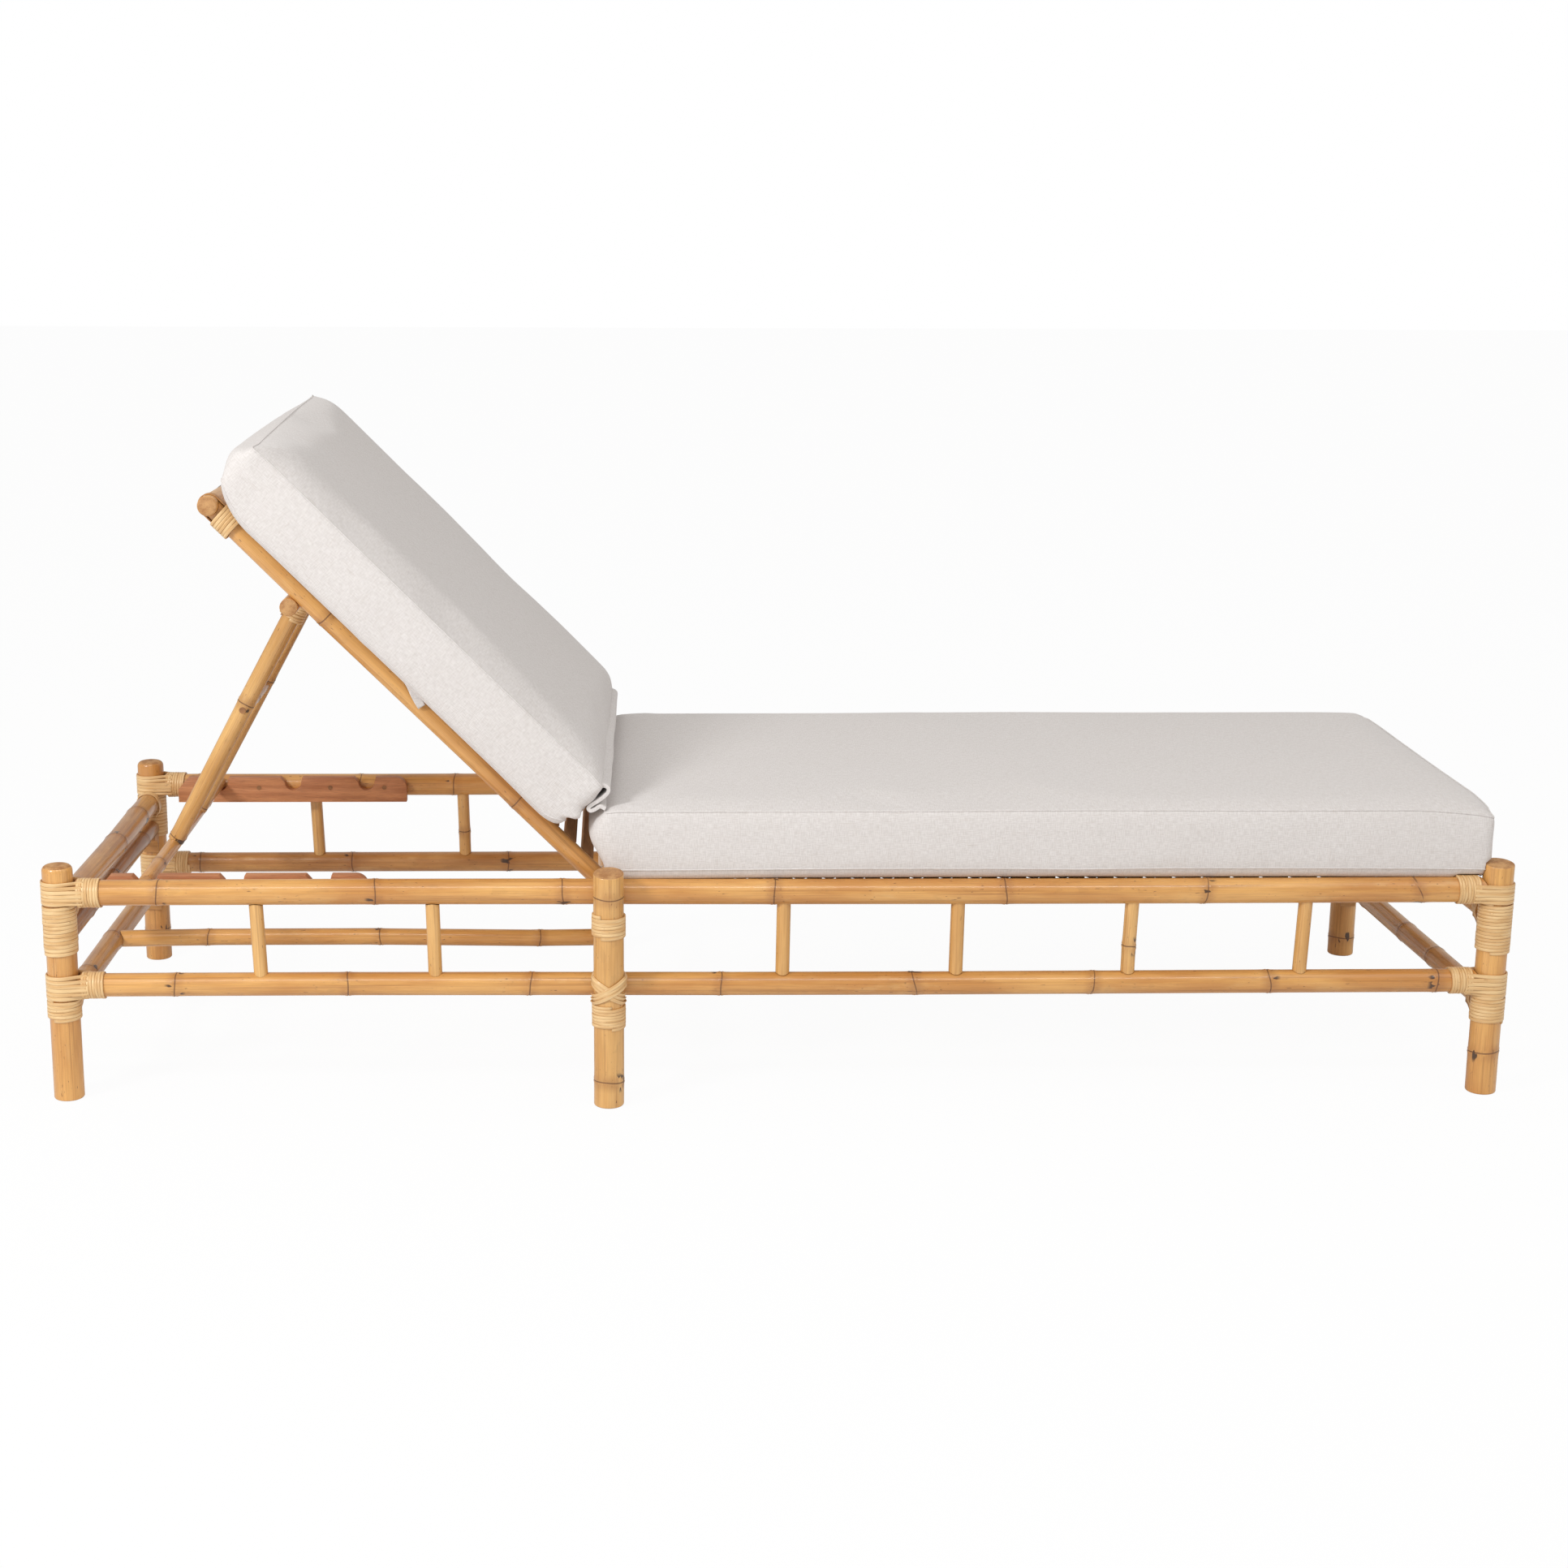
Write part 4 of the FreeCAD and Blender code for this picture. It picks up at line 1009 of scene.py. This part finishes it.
def make_boards():
    """The notched racks, and the ledges and slats under the cushions."""
    still = Matrix.Identity(4)
    lengthwise = (0, 1, 2)
    crosswise = (1, 0, 2)
    for side in SIDES:
        planed("rack_%s" % side, "frame", RACK_WOOD, still, lengthwise, 1.2 * MM)
        planed("seat_ledge_%s" % side, "frame", SLAT_WOOD, still, lengthwise, 0.8 * MM)
        planed("back_ledge_%s" % side, "back", SLAT_WOOD, TO_BACK, lengthwise, 0.8 * MM)
    planed("seat_slats", "frame", SLAT_WOOD, still, crosswise, 0.8 * MM)
    planed("back_slats", "back", SLAT_WOOD, TO_BACK, crosswise, 0.8 * MM)


def repaint(material, *nodes):
    """CAD nodes that keep their solids get a finish."""
    for node in nodes:
        finishes = frame["nodes"][node].data.materials
        if finishes:
            finishes[0] = material
        else:
            finishes.append(material)


# Cushions

CLOTH_FRAMES = 20
CLOTH = {
    "quality": 6,
    "mass": 0.3,
    "tension_stiffness": 40,
    "compression_stiffness": 40,
    "shear_stiffness": 12,
    "bending_stiffness": 0.5,
    "use_pressure": True,
    "uniform_pressure_force": 0.3,
    "shrink_min": -0.012,
}
SWELL = 6 * MM
QUAD = 12 * MM
SIDE_ROWS = 8
SEAM_CREASE = 0.75
SHOULDER = 75 * MM
DIPS = 2.5 * MM
WAVES = 0.8 * MM
SLACK = 30 * MM
WELT_RADIUS = 1.0 * MM


def share_of(value, whole):
    """A value's share of a whole, kept between 0 and 1."""
    return min(1.0, max(0.0, value / whole))


def shoulder(distance, reach):
    """How far a padded top has risen at a distance from its seam: steep at first, then level."""
    return (1 - (1 - share_of(distance, reach)) ** 2) ** 0.8


def padded_box(length, width, levels, inset):
    """A boxed cushion: a grid drawn up into a box, with its two seams marked and creased."""
    lower, upper = levels
    low_length = length - 2 * inset
    low_width = width - 2 * inset
    bpy.ops.object.select_all(action="DESELECT")
    quads = [round(side / QUAD) for side in (length, width)]
    bpy.ops.mesh.primitive_grid_add(x_subdivisions=quads[0], y_subdivisions=quads[1], size=1)
    piece = bpy.context.object
    edit(piece, "SELECT")
    bpy.ops.transform.resize(value=(low_length, low_width, 1), center_override=(0, 0, 0))
    draw_out(lower)
    bpy.ops.transform.resize(value=(length / low_length, width / low_width, 1), center_override=(0, 0, lower))
    for _ in range(SIDE_ROWS):
        draw_out((upper - lower) / SIDE_ROWS)
    close_outwards()
    mesh = piece.data
    half = (length / 2, width / 2)
    seams = []
    for edge in mesh.edges:
        a, b = (mesh.vertices[i].co for i in edge.vertices)
        level = any(abs(a.z - z) < TINY and abs(b.z - z) < TINY for z in levels)
        rim = any(abs(abs(a[i]) - half[i]) < TINY and abs(a[i] - b[i]) < TINY for i in range(2))
        edge.use_seam = level and rim
        seams.append(SEAM_CREASE if level and rim else 0.0)
    crease = mesh.attributes.new("crease_edge", "FLOAT", "EDGE")
    crease.data.foreach_set("value", seams)
    return piece


def filled(piece, length, width, levels, crown, reach, ends, droop, corner, seed):
    """Crown a boxed cushion's top, belly its sides and ends, and round its corners.

    reach is how far in from the ends the crown has risen, at the near and the far side; ends is how far the
    head and the foot end swell; droop above 1 puts their fullest part higher up, and below 1 lower down.
    """
    lower, upper = levels
    half_x = length / 2
    half_y = width / 2
    for vertex in piece.data.vertices:
        x, y, z = vertex.co
        u = x / half_x
        v = y / half_y
        height = share_of(z - lower, upper - lower)
        belly = math.sin(math.pi * height) ** 0.7
        out_x = 0.0
        out_y = 0.0
        rise = 0.0
        if z > upper - TINY:
            dips = noise.noise((x * 7 + seed, y * 7, 0)) * DIPS
            run_in = reach[0] + (reach[1] - reach[0]) * (v / 2 + 0.5)
            rise = (crown + dips) * shoulder(half_x - abs(x), run_in) * shoulder(half_y - abs(y), SHOULDER)
        if abs(u) > 0.999:
            paunch = math.sin(math.pi * height ** droop)
            wave = noise.noise((y * 25 + seed, z * 30, 4)) * WAVES * belly * (1 - v ** 4)
            out_x = ends[u > 0] * paunch * (1 - 0.15 * v ** 4) * (0.8 - 0.2 * v) + wave
        if abs(v) > 0.999:
            out_y = (1 - u ** 6 + 1.2 * noise.noise((x * 16 + seed, z * 22, 9))) * MM * belly
        gap_x = corner - (half_x - abs(x))
        gap_y = corner - (half_y - abs(y))
        pull = 0.0
        if gap_x > 0 and gap_y > 0:
            pull = 1 - max(gap_x, gap_y) / math.hypot(gap_x, gap_y)
        ease = (1 - 0.5 * belly) * (1.0 if z > lower + TINY else 0.45)
        x += math.copysign(out_x - max(0.0, gap_x) * pull * ease, x)
        y += math.copysign(out_y - max(0.0, gap_y) * pull * ease, y)
        vertex.co = Vector((x, y, z + rise))


def inflate(piece):
    """Blow a cushion up from inside by cloth simulation, no point moving further than SWELL."""
    start = [vertex.co.copy() for vertex in piece.data.vertices]
    cloth = piece.modifiers.new("padding", "CLOTH")
    for setting, value in CLOTH.items():
        setattr(cloth.settings, setting, value)
    cloth.settings.effector_weights.gravity = 0
    cloth.point_cache.frame_start = 1
    cloth.point_cache.frame_end = CLOTH_FRAMES
    for step in range(1, CLOTH_FRAMES + 1):
        bpy.context.scene.frame_set(step)
    shape = piece.evaluated_get(bpy.context.evaluated_depsgraph_get()).data
    moved = [vertex.co.copy() for vertex in shape.vertices]
    piece.modifiers.remove(cloth)
    bpy.context.scene.frame_set(1)
    for vertex, begin, spot in zip(piece.data.vertices, start, moved):
        step = spot - begin
        vertex.co = begin + step * min(1.0, SWELL / max(step.length, 1e-9))


def clear_of(piece, point, way, radius, length):
    """Press a soft piece back from a round pole that it bears on."""
    for vertex in piece.data.vertices:
        arm = vertex.co - point
        run = arm.dot(way)
        out = arm - way * run
        if 0 <= run <= length and 1e-6 < out.length < radius:
            vertex.co = point + way * run + out.normalized() * radius


def woven(piece):
    """Lay the weave on a linen piece, face by face, in a UV map."""
    edit(piece, "SELECT")
    bpy.ops.uv.cube_project(cube_size=1.0, correct_aspect=False)
    close_edit()
    kept = piece.data.uv_layers.active.name
    for layer in [layer.name for layer in piece.data.uv_layers if layer.name != kept]:
        piece.data.uv_layers.remove(piece.data.uv_layers[layer])
    piece.data.uv_layers[kept].name = "cloth"
    piece.data.shade_smooth()


def softened(piece):
    """Smooth a cushion's corners, where its cover is slack."""
    reach = [max(abs(vertex.co[i]) for vertex in piece.data.vertices) - SLACK for i in range(2)]
    edit(piece)
    close_edit()
    for vertex in piece.data.vertices:
        vertex.select = abs(vertex.co.x) > reach[0] and abs(vertex.co.y) > reach[1]
    bpy.ops.object.mode_set(mode="EDIT")
    bpy.ops.mesh.vertices_smooth(factor=0.5, repeat=3)
    close_edit()


def sewn(piece, node, body, matrix, shaped):
    """Fill a cushion, run a welt along its seams, lay its weave, and set it in its place."""
    inflate(piece)
    softened(piece)
    finished(piece, "SUBSURF", levels=1, render_levels=1)
    shaped(piece)
    edit(piece)
    bpy.ops.mesh.select_mode(type="EDGE")
    close_edit()
    for edge in piece.data.edges:
        edge.select = edge.use_seam
    bpy.ops.object.mode_set(mode="EDIT")
    bpy.ops.mesh.duplicate()
    bpy.ops.mesh.separate(type="SELECTED")
    bpy.ops.mesh.select_mode(type="VERT")
    close_edit()
    choose([cut for cut in bpy.context.selected_objects if cut is not piece][0])
    bpy.ops.object.convert(target="CURVE")
    welt = bpy.context.object
    welt.data.bevel_depth = WELT_RADIUS
    welt.data.bevel_resolution = 1
    bpy.ops.object.convert(target="MESH")
    welt = bpy.context.object
    outwards(welt)
    piece = joined([piece, welt])
    woven(piece)
    settled(piece, matrix)
    dressed(piece, node + "_linen", body, (LINEN,), [node])


# The seat cushion, in the lounger's space: where it lies, its two seams' heights, how far its far foot corner
# runs out, how far its foot corners and its far head corner sink, and how it sags between the slats
SEAT_HEAD = -236 * MM
SEAT_FOOT = 962 * MM
SEAT_WIDTH = 656 * MM
SEAT_BASE = 305.4 * MM
SEAT_LEVELS = (16 * MM, 97 * MM)
SEAT_SKEW = 20 * MM
SEAT_DROP = 9 * MM
SEAT_DROP_REACH = 110 * MM
SEAT_TILT = 3 * MM
SEAT_DIP = 6 * MM
SEAT_DIP_REACH = 60 * MM
SLAT_GAP = -175 * MM
SLAT_PITCH = 40 * MM
SLAT_SAG = 3.5 * MM
SLAT_SAG_REACH = 10 * MM
SLAT_SAG_RIM = 20 * MM
# What the cushions are pressed back from: the foot legs' tops, the collars there and the crossbar's straps
LEG_TOP = 331.5 * MM
FOOT_COLLAR_START = 917 * MM
FOOT_COLLAR_LENGTH = 36 * MM
STRAP_START = -739 * MM
STRAP_RADIUS = 20.5 * MM
STRAP_LENGTH = 58 * MM

# The back cushion, in the back's space: where it lies, its two seams' heights, how far its far side rises and
# its far head corner runs out, how far its head and low ends lift off the slats, and the low end's rucks
BACK_LOW = 104.5 * MM
BACK_LENGTH = 634 * MM
BACK_WIDTH = 648 * MM
BACK_BASE = 13.8 * MM
BACK_LEVELS = (5 * MM, 90 * MM)
BACK_LIFT = 16 * MM
BACK_SKEW = 20 * MM
BACK_HEEL = 22 * MM
BACK_TOE = 11 * MM
BACK_RUCK = 11 * MM
BACK_TUCK = 6 * MM
BACK_RUCK_REACH = 35 * MM
BACK_PLEAT_REACH = 70 * MM


def near(distance, reach):
    """1 at an edge, falling to 0 at its reach from the edge."""
    return max(0.0, 1 - distance / reach)


def make_seat_cushion():
    """The long cushion on the slats, sagging a little between them."""
    length = SEAT_FOOT - SEAT_HEAD
    middle = (SEAT_FOOT + SEAT_HEAD) / 2
    half = length / 2
    matrix = Matrix.Translation((middle, 0, SEAT_BASE))
    piece = padded_box(length, SEAT_WIDTH, SEAT_LEVELS, 5 * MM)
    filled(piece, length, SEAT_WIDTH, SEAT_LEVELS, crown=5 * MM, reach=(SHOULDER, SHOULDER),
           ends=(25 * MM, 1 * MM), droop=1.3, corner=20 * MM, seed=1.0)

    def shaped(cushion):
        back = matrix.inverted()
        for vertex in cushion.data.vertices:
            x, y, z = vertex.co
            far = y / SEAT_WIDTH + 0.5
            side = SEAT_WIDTH / 2 - abs(y)
            height = share_of(z, SEAT_LEVELS[1])
            corner = near(half - x, SEAT_DROP_REACH) * near(side, SEAT_DROP_REACH)
            z -= SEAT_DIP * near(x + half, SEAT_DIP_REACH) ** 2 * far * height
            z = max(z, 0.0) + (SEAT_TILT * far - SEAT_DROP * corner ** 1.5 * (1 - 0.8 * far)) * height
            from_gap = abs((x + middle - SLAT_GAP + SLAT_PITCH / 2) % SLAT_PITCH - SLAT_PITCH / 2)
            if z < 0.5 * MM and from_gap < SLAT_SAG_REACH and side > SLAT_SAG_RIM:
                z -= SLAT_SAG * (1 - (from_gap / SLAT_SAG_REACH) ** 2)
            vertex.co = Vector((x + SEAT_SKEW * far * max(0.0, x / half) ** 2, y, z))
        for way in SIDES.values():
            leg = back @ Vector((FOOT_X, way * SIDE_Y, 0))
            collar = back @ Vector((FOOT_COLLAR_START, way * SIDE_Y, TOP_RAIL[0].z))
            clear_of(cushion, leg, UP, LEG_RADIUS + 1 * MM, LEG_TOP)
            clear_of(cushion, collar, ALONG, TOP_RAIL[2] + 4 * MM, FOOT_COLLAR_LENGTH)

    sewn(piece, "seat_cushion", "frame", matrix, shaped)


def make_back_cushion():
    """The cushion on the tilting back: fuller on its far side, and rucked where it meets the seat."""
    half = BACK_LENGTH / 2
    flat = Matrix.Translation((-(BACK_LOW + half), 0, BACK_BASE))
    piece = padded_box(BACK_LENGTH, BACK_WIDTH, BACK_LEVELS, 3 * MM)
    filled(piece, BACK_LENGTH, BACK_WIDTH, BACK_LEVELS, crown=20 * MM, reach=(SHOULDER, 38 * MM),
           ends=(18 * MM, 1 * MM), droop=0.8, corner=32 * MM, seed=5.0)

    def shaped(cushion):
        back = flat.inverted()
        for vertex in cushion.data.vertices:
            x, y, z = vertex.co
            far = y / BACK_WIDTH + 0.5
            head = max(0.0, -x / half)
            height = share_of(z, BACK_LEVELS[1])
            low = near(half - x, BACK_RUCK_REACH)
            heel = max(0.0, (head - 0.78) / 0.22) ** 2 * BACK_HEEL
            ruck = noise.noise((y * 40, z * 62, 2)) * BACK_RUCK * (1 - height)
            tuck = noise.noise((x * 30, z * 62, 6)) * BACK_TUCK * low * (1 - height * 0.5)
            pleat = 6 * math.exp(-((z / MM - 29) / 8) ** 2) - 5 * math.exp(-((z / MM - 15) / 5) ** 2)
            ruck += pleat * MM * near(BACK_WIDTH / 2 - abs(y), BACK_PLEAT_REACH)
            z = max(z, 0.0) + (heel + BACK_TOE * low ** 2) * (1 - height) + BACK_LIFT * far * height
            skew = BACK_SKEW * far * head ** 2 * height
            vertex.co = Vector((x - skew + ruck * low, y + math.copysign(tuck, y), z))
        for way in SIDES.values():
            strap = back @ Vector((STRAP_START, way * STRAP_Y, 0))
            clear_of(cushion, strap, ALONG, STRAP_RADIUS, STRAP_LENGTH)

    sewn(piece, "back_cushion", "back", TO_BACK @ flat, shaped)


# The flap's fold, from the back cushion's seam to the seat cushion, as x and z at its near end in
# millimetres; its far end is carried along and up by FLAP_FAR
FLAP = ((-256.0, 440.0), (-238.0, 435.5), (-235.5, 429.0), (-241.0, 422.5), (-249.5, 416.0), (-259.0, 410.0),
        (-263.5, 405.5), (-260.5, 401.8), (-254.0, 404.0), (-247.0, 408.0), (-240.0, 404.5))
FLAP_FAR = Vector((10.5, 0, 10.0)) * MM
FLAP_HALF = 322 * MM
FLAP_THICK = 5.0 * MM
FLAP_EDGE = 1.6 * MM
TAB_WIDTH = 11 * MM
TAB_THICK = 1.6 * MM
# The tab's line in the back's space, in millimetres
TAB = ((-386, -279, 13.4), (-378, -287, 13.6), (-368, -291.5, 10.5), (-357, -292.6, 7.0), (-347, -292.8, 4.5))


def make_hinge_flap():
    """The doubled strip of linen that joins the two cushions, folded in an S between them."""
    line = smooth_path([Vector((x, 0, z)) * MM for x, z in FLAP], steps=5)
    rows = len(line) - 1
    bpy.ops.object.select_all(action="DESELECT")
    bpy.ops.mesh.primitive_grid_add(x_subdivisions=rows, y_subdivisions=56, size=2)
    piece = bpy.context.object
    for vertex in piece.data.vertices:
        step = round((vertex.co.x + 1) / 2 * rows)
        share = 1 - step / rows
        far = (vertex.co.y + 1) / 2
        y = vertex.co.y * FLAP_HALF
        loose = math.sin(math.pi * share)
        along_x = noise.noise((y * 11, share * 2, 1)) * 3.0
        up_z = noise.noise((y * 13, share * 2, 5)) * 2.0
        wave = Vector((along_x, 0, up_z)) * MM
        vertex.co = Vector((line[step].x, y, line[step].z)) + FLAP_FAR * far * share + wave * loose
    finished(piece, "SOLIDIFY", thickness=FLAP_THICK, offset=0)
    finished(piece, "BEVEL", width=FLAP_EDGE, segments=2, limit_method="ANGLE", angle_limit=math.radians(60))
    woven(piece)
    dressed(piece, "hinge_flap_linen", None, (LINEN,))
    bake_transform(piece)
    run_length(line)


def make_tie_tab():
    """The end of a tie that holds the back cushion to its rail."""
    path = smooth_path([TO_BACK @ (Vector(spot) * MM) for spot in TAB], steps=3)
    outs = [TO_BACK.to_3x3() @ Vector((0, -1, 0.8 * (1 - i / len(path)))) for i in range(len(path))]
    piece = ribbon(path, outs, TAB_WIDTH, TAB_THICK, 2)
    woven(piece)
    dressed(piece, "tie_tab_linen", "back", (LINEN,))
    run_length(path)


# Room, light and camera


# Each soft box: its place and what it is aimed at, its width and height in metres, and its power in watts
LAMPS = {
    "key": ((-2.84, -2.48, 2.5), (-0.1, 0, 0.4), 0.7, 0.7, 68),
    "fill": ((2.2, -1.2, 2.6), (-0.1, 0, 0.5), 1.8, 1.8, 10),
    "strip": ((0, -2.6, 3.4), (0, 0, 0.3), 3.4, 0.4, 36),
}
WHITE = (1, 1, 1, 1)
FLOOR_DROP = 0.6 * MM
FLOOR_WHITE = 0.955
AMBIENT_COLOUR = (1, 0.965, 0.93, 1)
AMBIENT_STRENGTH = 0.53
CAMERA_PLACE = (-0.22355, -3.39006, 1.14599)
CAMERA_PITCH = 0.2264
CAMERA_YAW = 0.0231
CAMERA_ROLL = 0.0036
CAMERA_LENS = 53.86
CAMERA_SHIFT = 0.0724


def lamp(name, place, aim, width, height, power):
    """A soft light box."""
    data = bpy.data.lights.new(name, "AREA")
    data.shape = "RECTANGLE"
    data.size = width
    data.size_y = height
    data.energy = power
    lit = bpy.data.objects.new(name, data)
    bpy.context.scene.collection.objects.link(lit)
    lit.location = place
    lit.rotation_euler = (Vector(place) - Vector(aim)).to_track_quat("Z", "Y").to_euler()


def make_room():
    """A white floor that keeps the soft shadow, and a world that is white to the camera."""
    bpy.ops.object.select_all(action="DESELECT")
    bpy.ops.mesh.primitive_plane_add(size=60, location=(0, 0, -FLOOR_DROP))
    floor = bpy.context.object
    floor.name = "floor"
    f = Finish("studio_floor", Roughness=0.9, Base_Color=(0.9, 0.9, 0.9, 1))
    white = f.node("ShaderNodeEmission", None, {"Color": WHITE, "Strength": 1.0})
    f.end_with(f.white_to_camera(FLOOR_WHITE, Value(f, f.shader.outputs[0]), white), "Material Output")
    floor.data.materials.append(f.material)
    world = bpy.data.worlds.new("studio")
    bpy.context.scene.world = world
    air = Nodes(world)
    ambient = air.node("ShaderNodeBackground", None, {"Color": AMBIENT_COLOUR, "Strength": AMBIENT_STRENGTH})
    white = air.node("ShaderNodeBackground", None, {"Color": WHITE, "Strength": 1.0})
    air.end_with(air.white_to_camera(1.0, ambient, white), "World Output")
    for name, box in LAMPS.items():
        lamp(name, *box)


def make_camera():
    """The photograph's viewpoint."""
    cos_yaw = math.cos(CAMERA_YAW)
    sin_yaw = math.sin(CAMERA_YAW)
    cos_pitch = math.cos(CAMERA_PITCH)
    ahead = Vector((sin_yaw * cos_pitch, cos_yaw * cos_pitch, -math.sin(CAMERA_PITCH)))
    level = Vector((cos_yaw, -sin_yaw, 0))
    rise = level.cross(ahead)
    right = level * math.cos(CAMERA_ROLL) + rise * math.sin(CAMERA_ROLL)
    up = rise * math.cos(CAMERA_ROLL) - level * math.sin(CAMERA_ROLL)
    data = bpy.data.cameras.new("view")
    data.lens = CAMERA_LENS
    data.sensor_width = 36
    data.shift_x = CAMERA_SHIFT
    camera = bpy.data.objects.new("view", data)
    bpy.context.scene.collection.objects.link(camera)
    camera.matrix_world = Matrix((
        (right.x, up.x, -ahead.x, CAMERA_PLACE[0]),
        (right.y, up.y, -ahead.y, CAMERA_PLACE[1]),
        (right.z, up.z, -ahead.z, CAMERA_PLACE[2]),
        (0, 0, 0, 1),
    ))
    bpy.context.scene.camera = camera


def main():
    """Make everything, in the order in which the pieces need each other."""
    make_camera()
    make_room()
    make_legs()
    make_rails()
    make_cross_poles()
    make_balusters()
    make_back_poles()
    make_prop_poles()
    make_wraps()
    make_bindings()
    make_boards()
    repaint(SPLIT_BAMBOO, "head_saddles", "middle_saddles", "foot_saddles", "crossbar_straps", "prop_straps")
    repaint(PLUG_WOOD, "rack_screw_plugs", "prop_plugs", "hinge_pins", "hinge_pin_caps", "pivot_pole_pegs")
    make_seat_cushion()
    make_back_cushion()
    make_hinge_flap()
    make_tie_tab()
    bpy.context.scene.view_settings.view_transform = "Standard"


main()
